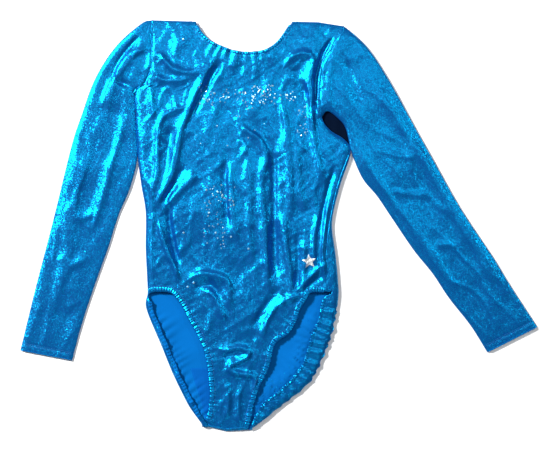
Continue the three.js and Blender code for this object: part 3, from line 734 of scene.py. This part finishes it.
def armZ(side, x, y, armShare, top):
    edge = silhouetteDistance(x, y)
    seam = np.interp(armShare, armLook["seamShare"], armLook["seam"])
    if not top:
        wave = armLook["underWave"] * (1 + swell(x, y, armLook["underSeed"], armLook["underLengths"]))
        drop = (seam - cloth["floor"] - cloth["thick"]) * rim(edge, cloth["rimArmUnder"])
        return seam - drop + wave * smoothStep(edge / 10)
    near = armholeNear(x, y)
    away = smoothStep(near / armLook["joinOver"])
    crown = np.interp(armShare, armLook["share"], armLook["crown"])
    crown = bodyCrown(x, y) * (1 - away) + crown * away
    waves = sleeves[side]["waves"]
    relief = foldField(armFolds, x, y) + waveOf(x, y, waves)
    relief += waveOf(x, y, {**armLook["fine"], "turn": waves["turn"]})
    relief += creaseOf(x, y, {**armLook["creases"], "turn": waves["turn"]})
    cuffDist = (1 - armShare) * armLook["length"]
    relief *= 0.35 + 0.65 * smoothStep(cuffDist / 60)
    relief -= armLook["cuffDip"] * np.exp(-((cuffDist - armLook["cuffLine"]) / 1.6) ** 2)
    relief = frontRelief(x, y) * (1 - away) + relief * away
    width = cloth["rimBody"] * (1 - away) + cloth["rimArm"] * away
    z = seam + (crown - seam) * rim(edge, width) + relief * (0.2 + 0.8 * smoothStep(edge / 16))
    return softLimit(z, armLook["lowest"], np.interp(near, armLook["limitFrom"], armLook["limit"]))


def keptIn(grid, border, outside, s, t):  # no part of a sleeve crosses the armhole or its own underarm edge
    _, facing, _ = nearestOn(border, outside[:, 0], outside[:, 1])
    facing = 1.0 if facing[0] > 0 else -1.0
    _, signed, along = nearestOn(border, grid[..., 0], grid[..., 1])
    room = 7.0 * (1 - s)[None, :] * smoothStep(t / 0.012 + 0.1)
    run = runAlong(border)
    across = facing * pointsAt(sidewaysOf(border), run, along)
    crossing = (signed * facing < room)[..., None]
    return np.where(crossing, pointsAt(border, run, along) + across * room[..., None], grid)


# the sleeve's grid: rows from the armhole to the cuff, each from the outer edge to the inner
def planOf(side):
    rows, cols = sleeveGrid["rows"], sleeveGrid["around"]
    outer = evenly(curveThrough(sleeves[side]["outer"]), rows)
    inner = evenly(curveThrough(sleeves[side]["inner"]), rows)
    even = np.linspace(0, 1, cols)
    q = np.linspace(-1, 1, cols)
    s = ((q * 0.25 + 0.75 * np.sin(q * math.pi / 2)) + 1) / 2  # closer together near both edges
    start = pointsAt(evenly(armholes[side], cols), even, s)
    t = np.linspace(0, 1, rows)[:, None, None]
    ruled = (1 - s[None, :, None]) * outer[:, None] + s[None, :, None] * inner[:, None]
    startOff = start - ((1 - s[:, None]) * outer[0] + s[:, None] * inner[0])
    grid = ruled + (1 - smoothStep(t / 0.22)) * startOff[None]
    border = np.vstack([armholes[side], inner[1:]])
    third = rows // 3
    grid[1:third] = keptIn(grid[1:third], border, outer[third][None], s, t[1:third, :, 0])
    return grid


def makeSleeve(side):
    grid = planOf(side)
    rows, cols = sleeveGrid["rows"], sleeveGrid["around"]
    share = np.repeat(np.linspace(0, 1, rows)[:, None], cols, 1)
    gx, gy = grid[..., 0], grid[..., 1]
    upper = np.stack([gx, gy, armZ(side, gx, gy, share, True)], -1)
    lower = np.stack([gx, gy, armZ(side, gx, gy, share, False)], -1)[:, 1:-1][:, ::-1]
    ring = np.concatenate([upper, lower], 1)
    around = ring.shape[1]
    points = ring.reshape(-1, 3)
    quads = gridQuads(rows, around, closed=True)
    if side == "right":
        quads = quads[:, ::-1]
    across = faceNormals(points, quads)
    middle = len(across) // 2 // around * around + cols // 2
    if across[middle][2] < 0:
        quads, across = quads[:, ::-1], -across
    normal = pointNormals(points, quads, across)
    rowOf, split = quads.min(1) // around, int(rows * sleeveGrid["splitAt"])
    made = []
    for part, keep in (("UpperSleeve", rowOf < split), ("ForearmSleeve", rowOf >= split)):
        obj = clothMesh(side + part, points, quads[keep], cloth["thick"], [foil, inside])
        # both halves keep the whole sleeve's normals, so the split doesn't show
        own = normal[np.unique(quads[keep])]
        obj.data.normals_split_custom_set_from_vertices(np.concatenate([own, -own]).tolist())
        made.append(obj)
    return made


sleeveParts = {side: makeSleeve(side) for side in sleeves}
print("sleeves made")


def lineOffset(line, offset):
    return line + sidewaysOf(line) * offset


def tidyLine(line, step):
    line = np.asarray(line, float)
    run = runAlong(line)
    at = np.linspace(0, run[-1], max(4, int(run[-1] / step)))
    return pointsAt(line, run, at), at


def turnedOut(mesh):
    work = bmesh.new()
    work.from_mesh(mesh)
    bmesh.ops.recalc_face_normals(work, faces=work.faces)
    work.to_mesh(mesh)
    work.free()


bandUsual = {"gather": 0.0, "pitch": 3.6, "step": 0.7, "around": 14, "lift": 0.0, "sway": 0.0}


def bandAlong(name, line, heightAt, settings, material):  # a closed band of cloth, gathered along its length
    spec = {**bandUsual, **settings}
    flat, run = tidyLine(line, spec["step"])
    z = heightAt(flat[:, 0], flat[:, 1])
    z = np.convolve(np.pad(z, 2, mode="edge"), np.ones(5) / 5, mode="valid")
    gather = np.sin(run * 2 * math.pi / spec["pitch"] + 1.1 * np.sin(run / 7.0)) + 0.4 * np.sin(run / 2.9 + 2)
    gather = gather * spec["gather"]
    sideways = sidewaysOf(flat)
    ring = spec["around"]
    angle = np.linspace(0, 2 * math.pi, ring, endpoint=False)
    c, q = np.cos(angle), np.sin(angle)
    c, q = np.sign(c) * np.abs(c) ** 0.75, np.sign(q) * np.abs(q) ** 0.75  # a flattened oval
    tip = np.minimum(1, np.minimum(run, run[-1] - run) / 2.0 + 0.35)
    width = spec["width"] / 2 * (1 + 0.12 * gather) * tip
    high = spec["height"] / 2 * tip
    out = width[:, None] * c[None] + (spec["sway"] * np.sin(run / 5.3 + 1))[:, None]
    px = flat[:, :1] + sideways[:, :1] * out
    py = flat[:, 1:] + sideways[:, 1:] * out
    pz = z[:, None] + spec["lift"] + high[:, None] * q[None] * np.where(q > 0, 1 + gather[:, None], 1)
    points = np.stack([px, py, np.maximum(pz, 0.12)], -1).reshape(-1, 3)
    faces = gridQuads(len(flat), ring, closed=True)[:, ::-1].tolist()
    faces.append(list(range(ring)))
    faces.append([len(points) - ring + k for k in reversed(range(ring))])
    mesh = bpy.data.meshes.new(name)
    mesh.from_pydata(inFrame(points).tolist(), [], faces)
    mesh.materials.append(material)
    turnedOut(mesh)
    mesh.polygons.foreach_set("use_smooth", [True] * len(mesh.polygons))
    return linked(name, mesh)


def joinAs(name, pieces):
    work = bmesh.new()
    for piece in pieces:
        work.from_mesh(piece.data)
    mesh = bpy.data.meshes.new(name)
    work.to_mesh(mesh)
    work.free()
    mesh.materials.append(pieces[0].data.materials[0])
    for piece in pieces:
        bpy.data.objects.remove(piece)
    return linked(name, mesh)


def turnTo(direction, normal):
    x = Vector(direction).normalized()
    y = Vector(normal).normalized().cross(x).normalized()
    return Matrix((x, y, x.cross(y))).transposed().to_euler()


# one Geometry Nodes tree: the shape set on every place, turned, sized and scaled, then made real
def repeatShape(name, shape, size, places, turns, scales, material):
    carrier = bpy.data.meshes.new(name + "Places")
    carrier.from_pydata(inFrame(places).tolist(), [], [])
    turnData = carrier.attributes.new("turn", "FLOAT_VECTOR", "POINT")
    turnData.data.foreach_set("vector", np.asarray(turns, float).reshape(-1))
    scaleData = carrier.attributes.new("scale", "FLOAT", "POINT")
    scaleData.data.foreach_set("value", np.asarray(scales, float))
    holder = linked(name + "Holder", carrier)
    tree = bpy.data.node_groups.new(name + "Tree", "GeometryNodeTree")
    tree.interface.new_socket("Geometry", in_out="INPUT", socket_type="NodeSocketGeometry")
    sockets = {key: tree.interface.new_socket(key, in_out="INPUT",
                                              socket_type="NodeSocketFloat") for key in size}
    tree.interface.new_socket("Geometry", in_out="OUTPUT", socket_type="NodeSocketGeometry")
    entry, leave = addNode(tree, "NodeGroupInput"), addNode(tree, "NodeGroupOutput")
    unit = addNode(tree, shape["kind"], shape["inputs"])
    turnNode = addNode(tree, "GeometryNodeInputNamedAttribute", {"data_type": "FLOAT_VECTOR", "Name": "turn"})
    scaleNode = addNode(tree, "GeometryNodeInputNamedAttribute", {"data_type": "FLOAT", "Name": "scale"})
    sizeNode = addNode(tree, "ShaderNodeCombineXYZ", {}, X=entry.outputs["Length"], Y=entry.outputs["Width"],
                       Z=entry.outputs["Height"])
    scaled = addNode(tree, "ShaderNodeVectorMath", {"operation": "SCALE"}, i0=sizeNode.outputs[0],
                     Scale=scaleNode.outputs[0])
    onPoints = addNode(tree, "GeometryNodeInstanceOnPoints", {}, Points=entry.outputs[0],
                       Instance=unit.outputs["Mesh"], Rotation=turnNode.outputs[0], Scale=scaled.outputs[0])
    real = addNode(tree, "GeometryNodeRealizeInstances", {}, Geometry=onPoints.outputs[0])
    dressed = addNode(tree, "GeometryNodeSetMaterial", {"Material": material}, Geometry=real.outputs[0])
    tree.links.new(dressed.outputs[0], leave.inputs[0])
    modifier = holder.modifiers.new("Repeat", "NODES")
    modifier.node_group = tree
    for key, socket in sockets.items():
        modifier[socket.identifier] = size[key] * mm
    bpy.context.view_layer.update()
    made = bpy.data.meshes.new_from_object(holder.evaluated_get(bpy.context.evaluated_depsgraph_get()))
    made.name = name
    bpy.data.objects.remove(holder)
    return linked(name, made)


def surfaceNormal(heightAt, x, y):
    e = 0.8
    dx = (heightAt(x + e, y) - heightAt(x - e, y)) / (2 * e)
    dy = (heightAt(x, y + e) - heightAt(x, y - e)) / (2 * e)
    return np.stack([-dx, -dy, np.ones(len(x))], 1)


stitchShape = {"kind": "GeometryNodeMeshUVSphere", "inputs": {"Segments": 6, "Rings": 4, "Radius": 1.0}}


def stitchesAlong(name, lineSets, spec):
    places, turns = [], []
    for line, heightAt in lineSets:
        flat = tidyLine(line, spec["pitch"])[0][1:-1]
        tangent = np.gradient(flat, axis=0)
        z = heightAt(flat[:, 0], flat[:, 1])
        normal = surfaceNormal(heightAt, flat[:, 0], flat[:, 1])
        slope = -(normal[:, 0] * tangent[:, 0] + normal[:, 1] * tangent[:, 1])
        places += [(a, b, h + spec["lift"]) for (a, b), h in zip(flat, z)]
        turns += [turnTo((*way, rise), up) for way, rise, up in zip(tangent, slope, normal)]
    size = {"Length": spec["long"] / 2, "Width": spec["thick"] / 2, "Height": spec["thick"] / 2}
    return repeatShape(name, stitchShape, size, places, turns, np.ones(len(places)), thread)


def bumpedBy(tree, texture, settings, strength, depth):  # a relief of that texture, its depth in millimetres
    coords = addNode(tree, "ShaderNodeTexCoord")
    pattern = addNode(tree, texture, settings, Vector=coords.outputs["Object"])
    bump = addNode(tree, "ShaderNodeBump", {"Strength": strength, "Distance": depth * mm},
                   Height=pattern.outputs["Fac"])
    return bump.outputs[0]


def plainFinish(name, settings, normal=None):  # normal: texture, its settings, strength and depth
    material, tree = newMaterial(name)
    links = {"Normal": bumpedBy(tree, *normal)} if normal else {}
    shader = addNode(tree, "ShaderNodeBsdfPrincipled", settings, **links)
    addNode(tree, "ShaderNodeOutputMaterial", Surface=shader.outputs[0])
    return material


# polyester coverstitch thread, a shade lighter than the cloth, faint sheen
thread = plainFinish("bluePolyesterThread", {"Base Color": hexColour("#0a74c4"), "Roughness": 0.45,
                                             "Sheen Weight": 0.4},
                     ("ShaderNodeTexWave", {"Scale": 900.0, "Distortion": 2.0}, 0.3, 0.05))
# heat-pressed silver foil, bright with a fine grain of the knit coming through
silver = plainFinish("heatPressedSilverFoil", {"Base Color": hexColour("#eef4f8"), "Metallic": 0.75,
                                               "Roughness": 0.42},
                     ("ShaderNodeTexNoise", {"Scale": 700.0, "Detail": 2.0}, 0.4, 0.1))
# white woven satin label, weft lines just visible, nothing printed on it
satin = plainFinish("whiteWovenSatin", {"Base Color": hexColour("#f2f3f0"), "Roughness": 0.5},
                    ("ShaderNodeTexWave", {"Scale": 400.0}, 0.3, 0.05))
# smooth matte white paper that the light falls off on softly
paper = plainFinish("whitePaperSweep", {"Base Color": hexColour("#f6f7f8"), "Roughness": 0.9,
                                        "Specular IOR Level": 0.2})

crystalFinish = {
    "facet": 0.9, "light": "#e6fbff", "deep": "#4cc8e0",  # facet size in millimetres
    "shader": {"Metallic": 0.7, "Roughness": 0.12, "Coat Weight": 1.0, "Coat Roughness": 0.03,
               # the emission is a painted glow on the stones, which hold no lamp
               "Emission Strength": 0.12},
}


# foil-backed glass stones: pale aqua, sharp glints, no two facets alike; each facet's tone, pale at its
# middle and deeper aqua at its rim, also feeds a faint emission, a painted glow
def cutCrystal():
    material, tree = newMaterial("foilBackedAquaCrystalPaintedGlow")
    coords = addNode(tree, "ShaderNodeTexCoord").outputs["Object"]
    facets = addNode(tree, "ShaderNodeTexVoronoi", {"Scale": 1 / (crystalFinish["facet"] * mm)},
                     Vector=coords)
    tone = addNode(tree, "ShaderNodeValToRGB", {}, Fac=facets.outputs["Distance"])
    tone.color_ramp.elements[0].color = hexColour(crystalFinish["light"])
    tone.color_ramp.elements[1].color = hexColour(crystalFinish["deep"])
    shader = addNode(tree, "ShaderNodeBsdfPrincipled", crystalFinish["shader"],
                     Base_Color=tone.outputs[0], Emission_Color=tone.outputs[0])
    addNode(tree, "ShaderNodeOutputMaterial", Surface=shader.outputs[0])
    return material


crystal = cutCrystal()
hemFoil = foilDotKnit("gatheredFoilHem", {**foilKnit, "knit": "#00408a", "foil": "#00b0e8"})
# near-black matte sheet: painted shade, standing in for the shadow in the hollow under the left underarm; the
# cloth there is the same blue as elsewhere
paintedShadeCloth = matteKnit("paintedShadeInUnderarmHollow", "#000c22")
liningKnit = matteKnit("cottonLiningKnit", "#0056a6")


def onFront(x, y):
    return frontZ(np.asarray(x, float), np.asarray(y, float))


def onArm(side):
    def height(x, y):
        x, y = np.asarray(x, float), np.asarray(y, float)
        line = evenly(curveThrough(sleeves[side]["outer"]), 300)
        _, _, along = nearestOn(line, x, y)
        length = np.linalg.norm(np.diff(line, axis=0), axis=1).sum()
        return armZ(side, x, y, along / length, True)
    return height


neckLook = {"width": 5.0, "height": 2.4, "gather": 0.3, "pitch": 4.2, "lift": -0.6}
neckBackLook = {"width": 5.0, "height": 2.0, "gather": 0.25, "pitch": 4.2, "lift": 0.4}
legLook = {"width": 8.0, "height": 2.6, "gather": 0.3, "pitch": 3.8, "lift": -0.5, "sway": 0.3, "step": 0.6}
legBackLook = {"width": 6.5, "height": 2.2, "gather": 0.4, "pitch": 5.2, "lift": -0.4, "sway": 0.5}
legHemTop = 11.6


def onLegHem(x, y):
    return np.minimum(onFront(x, y), legHemTop)


def shortened(name, first, last, offset):  # a plan line without its first and last points, moved sideways
    return lineOffset(lines[name][first:-last], offset)


neckFront = bandAlong("neckHemFront", shortened("frontNeck", 3, 3, -0.5), onFront, neckLook, hemFoil)
neckBack = bandAlong("neckHemBack", shortened("backNeck", 3, 3, -0.5), backZ, neckBackLook, inside)
rightFront = bandAlong("rightLegHemFront", shortened("rightLegFront", 4, 3, 2.6), onLegHem, legLook, hemFoil)
leftFront = bandAlong("leftLegHemFront", shortened("leftLegFront", 4, 3, -2.6), onLegHem, legLook, hemFoil)
westLow = np.array([p for p in lines["westSide"] if -290 < p[1] < -112])
rightBack = bandAlong("rightLegHemBack", lineOffset(westLow, 6.4), wrapZ, legBackLook, inside)
leftBack = bandAlong("leftLegHemBack", shortened("leftLegBack", 3, 3, 1.0), wrapZ,
                     {**legBackLook, "width": 5.0, "lift": 0.2}, hemFoil)
print("hems made")

seamLook = {"width": 1.5, "height": 1.1, "gather": 0.1, "pitch": 2.2, "lift": -0.25, "around": 8, "step": 1.2}
outlineHeight = 5.4  # of the seams that lie on the garment's outline


def onOutline(x, y):
    return 0 * x + outlineHeight


def onSideSeam(x, y):
    return np.minimum(onFront(x, y), wrapZ(x, y)) + 0.5


upperLines = {
    "rightArmholeSeam": armholes["right"][2:-2], "leftArmholeSeam": armholes["left"][2:-2],
    "rightShoulderSeam": [(-188, 307), (-126, 305.5)], "leftShoulderSeam": [(24, 305.5), (96, 298)],
}
upperSeams = joinAs("upperSeamRidges", [bandAlong(n, line, onFront, seamLook, foil) for n,
                                        line in upperLines.items()])
sideLine = np.array([p for p in lines["leftSideSeam"] if p[1] > -98])
westLine = np.array([p for p in lines["westSide"] if -98 < p[1] < 196])
sideSeams = joinAs("sideSeamRidges", [
    bandAlong("leftSideSeam", sideLine, onSideSeam, seamLook, foil),
    bandAlong("rightSideSeam", lineOffset(westLine, 0.9), onOutline, seamLook, foil)])
crotchSeam = bandAlong("crotchSeamRidge", [(-106, -299), (-78, -305), (-47, -302)], onOutline,
                       {**seamLook, "width": 2.4}, foil)

cuffLook = {"width": 1.8, "height": 4.2, "around": 10, "step": 1.2}
cuffMiddle, cuffRows = 3.3, (9.4, 11.8)  # height of the turned edge, and how far in the two stitched rows lie
cuffThread = {"pitch": 2.6, "long": 1.9, "thick": 0.45, "lift": 0.12}
legThread = {"pitch": 2.8, "long": 1.9, "thick": 0.5, "lift": 0.15}
topThread = {"pitch": 2.8, "long": 1.8, "thick": 0.45, "lift": 0.12}
cuffBands, cuffStitches = {}, {}
for side, spec in sleeves.items():
    a, b = np.array(spec["outer"][-1], float), np.array(spec["inner"][-1], float)
    inward = np.array(spec["outer"][-2], float) - a
    inward /= np.linalg.norm(inward)
    edgeLine = np.linspace(a + (b - a) * 0.025, a + (b - a) * 0.975, 60)
    cuffBands[side] = bandAlong(side + "CuffEdge", edgeLine + inward * 0.8, lambda x, y: 0 * x + cuffMiddle,
                                cuffLook, hemFoil)
    cuffStitches[side] = stitchesAlong(side + "CuffStitches",
                                       [(edgeLine + inward * d, onArm(side)) for d in cuffRows],
                                       cuffThread)
legStitches = stitchesAlong("legHemStitches", [
    (shortened("rightLegFront", 5, 4, 6.9), onFront), (shortened("leftLegFront", 5, 4, -6.9),
                                                       onFront)], legThread)
topStitches = stitchesAlong("seamAndNeckStitches", [
    (shortened("frontNeck", 4, 4, -4.6), onFront), (lineOffset(armholes["right"][3:-3], 2.0), onFront),
    (lineOffset(armholes["left"][3:-3], -2.0), onFront)], topThread)
print("stitches made")

# large: places of the bigger loose stones; bands: left, top, right, bottom and how many small stones
crystalLook = {
    "seed": 11, "ownRadius": 1.8, "largeRadius": 1.7, "smallRadii": [0.75, 0.95,
            1.2], "depth": 0.9, "hipBelow": -66,
    "large": [(-71, -16), (-127, -85), (-136, -91), (-142, -10), (-45, -34), (-143, 280)],
    "bands": [(-119, 213, -97, 178, 26), (-89, 205, -45, 184, 34), (-41, 212, -5, 182, 62),
              (2, 202, 28, 188, 16), (28, 184, 44, 130, 22), (-115, 62, -65, 24, 38),
              (-115, 22, -80, -36, 26), (-125, 180, -20, 120, 12)],
}
crystalShape = {"kind": "GeometryNodeMeshCone",
                "inputs": {"Vertices": 8, "Radius Top": 0.55, "Radius Bottom": 1.0, "Depth": 0.75}}
stoneNodes = ["rhinestone_%02d" % k for k in range(1, 15)]


def stonePlaces():
    rng = np.random.default_rng(crystalLook["seed"])
    places, radii = [], []
    for name in stoneNodes:
        low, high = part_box(name)
        centre = (low + high) / 2 / mm
        places.append((centre.x - shiftX, centre.y - shiftY))
        radii.append(crystalLook["ownRadius"])
    for place in crystalLook["large"]:
        places.append(place)
        radii.append(crystalLook["largeRadius"])
    for x0, y0, x1, y1, count in crystalLook["bands"]:
        for _ in range(count):
            places.append((rng.uniform(x0, x1), rng.uniform(y1, y0)))
            radii.append(rng.choice(crystalLook["smallRadii"]))
    return np.array(places, float), np.array(radii)


def stonesOn(name, keep):
    x, y = stoneXY[keep].T
    places = np.stack([x, y, frontZ(x, y)], 1)
    turns = [turnTo((1, 0.3, -(n[0] + 0.3 * n[1])), n) for n in surfaceNormal(frontZ, x, y)]
    size = {"Length": 1.0, "Width": 1.0, "Height": crystalLook["depth"]}
    return repeatShape(name, crystalShape, size, places, turns, stoneRadii[keep], crystal)


stoneXY, stoneRadii = stonePlaces()
onHip = stoneXY[:, 1] <= crystalLook["hipBelow"]
chestStones, legStones = stonesOn("chestCrystals", ~onHip), stonesOn("hipCrystals", onHip)

star = {"radius": 11.0, "inner": 4.9, "turn": 0.12, "rings": 7, "perSide": 8, "thick": 0.5}


def makeStar():  # five points, lying on the cloth's relief ring by ring
    starLow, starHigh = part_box("hip_star")
    centre = (starLow + starHigh) / 2 / mm
    corners = []
    for k in range(10):
        r = star["radius"] if k % 2 == 0 else star["inner"]
        angle = math.pi / 2 + k * math.pi / 5 + star["turn"]
        corners.append((r * math.cos(angle), r * math.sin(angle)))
    sides = zip(corners, corners[1:] + corners[:1])
    outline = np.vstack([np.linspace(a, b, star["perSide"], endpoint=False) for a, b in sides])
    flat = np.vstack([outline * f for f in np.linspace(1, 0.06, star["rings"])])
    flat = flat + np.array([centre.x - shiftX, centre.y - shiftY])
    z = frontZ(flat[:, 0], flat[:, 1])
    points = np.vstack([np.column_stack([flat, z + star["thick"]]), np.column_stack([flat, z - 0.05])])
    count, n = len(outline), len(flat)
    faces = []
    for r in range(star["rings"] - 1):
        for k in range(count):
            a, b = r * count + k, r * count + (k + 1) % count
            faces.append((a, b, b + count, a + count))
            faces.append((a + count + n, b + count + n, b + n, a + n))
    faces += [(k, k + n, (k + 1) % count + n, (k + 1) % count) for k in range(count)]
    faces.append([n - count + k for k in range(count)])
    faces.append([2 * n - count + k for k in reversed(range(count))])
    mesh = bpy.data.meshes.new("hipStarPatch")
    mesh.from_pydata(inFrame(points).tolist(), [], faces)
    mesh.materials.append(silver)
    turnedOut(mesh)
    return linked("hipStarPatch", mesh)


hipStar = makeStar()

# flat sheets of four corners, each a little above what it lies on
labelLook = {"corners": [(-66, 168), (-34, 168), (-34, 188), (-66, 188)], "lift": 0.7, "thick": 0.3,
             "grid": (10, 16)}
liningLook = {"corners": [(-108, -290), (-50, -290), (-18, -214), (-132, -214)], "lift": 0.8, "thick": 0.4,
              "grid": (40, 60)}
underarmShadeLook = {"corners": [(55, 165), (104, 112), (118, 132), (76, 186)], "lift": 1.2, "wave": 0.6,
              "thick": 0.5,
              "grid": (16, 24)}


def underarmShadeHeight(x, y):
    return underarmShadeLook["wave"] * np.sin(x / 5) ** 2


def patchSheet(name, look, heightAt, material):
    rows, cols = look["grid"]
    p = np.array(look["corners"], float)
    u, v = np.linspace(0, 1, cols)[None, :, None], np.linspace(0, 1, rows)[:, None, None]
    grid = (1 - v) * ((1 - u) * p[0] + u * p[1]) + v * ((1 - u) * p[3] + u * p[2])
    z = heightAt(grid[..., 0], grid[..., 1]) + look["lift"]
    points = np.concatenate([grid, z[..., None]], -1).reshape(-1, 3)
    return clothMesh(name, points, gridQuads(rows, cols), look["thick"], [material])


labelSheet = patchSheet("careLabel", labelLook, backZ, satin)
liningSheet = patchSheet("crotchLining", liningLook, backZ, liningKnit)
# the dark sheet under the left underarm is painted shade, not cloth with a colour of its own
underarmShadeSheet = patchSheet("underarmPaintedShadeSheet", underarmShadeLook, underarmShadeHeight, paintedShadeCloth)
print("small pieces made")

# what moves with what: the pieces listed for a body are attached to it; the pieces that cross a fold line
# only have their placement baked in
hinges = {j["name"]: j for j in frame["record"]["behaviour"]["joints"]}


def blendOver(piece, joint, towards):  # towards: roughly where the moving side lies
    hinge = hinges[joint]
    along = Vector(hinge["axis"]).cross(Vector((0, 0, 1))).normalized()
    if along.dot(Vector((towards[0], towards[1], 0))) < 0:
        along = -along
    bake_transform(piece)


for piece in (frontCloth, backCloth, sideSeams, rightFront, leftFront, rightBack, leftBack, legStitches,
              hipStar):
    blendOver(piece, "body_fold", (0, -1))
for piece in (neckFront, neckBack, upperSeams, topStitches, chestStones, labelSheet, underarmShadeSheet):
    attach(piece, "upper_torso")
for piece in (crotchSeam, liningSheet, legStones):
    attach(piece, "lower_torso")
for side, spec in sleeves.items():
    upperPart, forePart = sleeveParts[side]
    blendOver(upperPart, side + "_sleeve_fold", spec["out"])
    blendOver(forePart, side + "_elbow_fold", (0, -1))
    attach(cuffBands[side], side + "_forearm")
    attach(cuffStitches[side], side + "_forearm")
    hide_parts(side + "_sleeve_cap", side + "_upper_sleeve", side + "_underarm_seam_upper")
    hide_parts(side + "_forearm_sleeve", side + "_underarm_seam_lower")
    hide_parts(side + "_cuff_hem")
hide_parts("front_bodice_upper", "front_bodice_lower")
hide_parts("back_bodice_upper", "back_bodice_lower")
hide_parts("neck_hem", "neck_elastic")
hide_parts("right_leg_hem", "right_leg_elastic")
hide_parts("left_leg_hem", "left_leg_elastic")
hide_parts("left_shoulder_seam", "right_shoulder_seam", "left_armhole_seam_front",
            "left_armhole_seam_back",
            "right_armhole_seam_front", "right_armhole_seam_back")
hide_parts("left_side_seam_upper", "left_side_seam_lower", "right_side_seam_upper",
            "right_side_seam_lower")
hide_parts("crotch_seam")
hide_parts("crotch_lining")
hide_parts("care_label")
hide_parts("hip_star")
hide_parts(*stoneNodes)

for side, spec in sleeves.items():
    upperPart, forePart = sleeveParts[side]

floorHalf = 4
floorMesh = bpy.data.meshes.new("paleFloor")
floorCorners = [(x * floorHalf, y * floorHalf, 0) for x, y in ((-1, -1), (1, -1), (1, 1), (-1, 1))]
floorMesh.from_pydata(floorCorners, [], [(0, 1, 2, 3)])
floorMesh.materials.append(paper)
linked("paleFloor", floorMesh)

studio = {
    "key": {"place": (-2.8, 1.75, 2.75), "size": 0.6, "power": 322},
    "softTop": {"place": (0.35, 0.75, 2.6), "size": 0.9, "power": 12},
    "rightStrip": {"place": (2.1, 1.1, 2.2), "size": 0.35, "power": 17},
    "fill": {"place": (0.2, -1.9, 1.5), "size": 1.0, "power": 5},
}
surroundings = {"colour": (0.95, 0.97, 1, 1), "strength": 0.145}
for name, spec in studio.items():
    light = bpy.data.lights.new(name, "AREA")
    light.energy, light.size = spec["power"], spec["size"]
    lamp = linked(name, light)
    lamp.location = spec["place"]
    lamp.rotation_euler = (-Vector(spec["place"])).to_track_quat("-Z", "Y").to_euler()
world = bpy.data.worlds.new("studio")
bpy.context.scene.world = world
world.use_nodes = True
world.node_tree.nodes["Background"].inputs["Color"].default_value = surroundings["colour"]
world.node_tree.nodes["Background"].inputs["Strength"].default_value = surroundings["strength"]
bpy.context.scene.view_settings.view_transform = "Standard"

# straight above, framed to see this width of the garment's mid height
view = {"height": 1.9, "focus": 0.006, "widthSeen": 0.8295, "sensor": 36,
        "centre": (-3 + shiftX, 0.75 + shiftY)}
camera = linked("camera", bpy.data.cameras.new("camera"))
camera.location = (view["centre"][0] * mm, view["centre"][1] * mm, view["height"])
camera.data.sensor_width = view["sensor"]
camera.data.lens = view["sensor"] * (view["height"] - view["focus"]) / view["widthSeen"]
bpy.context.scene.camera = camera
print("floor, lights and camera set")
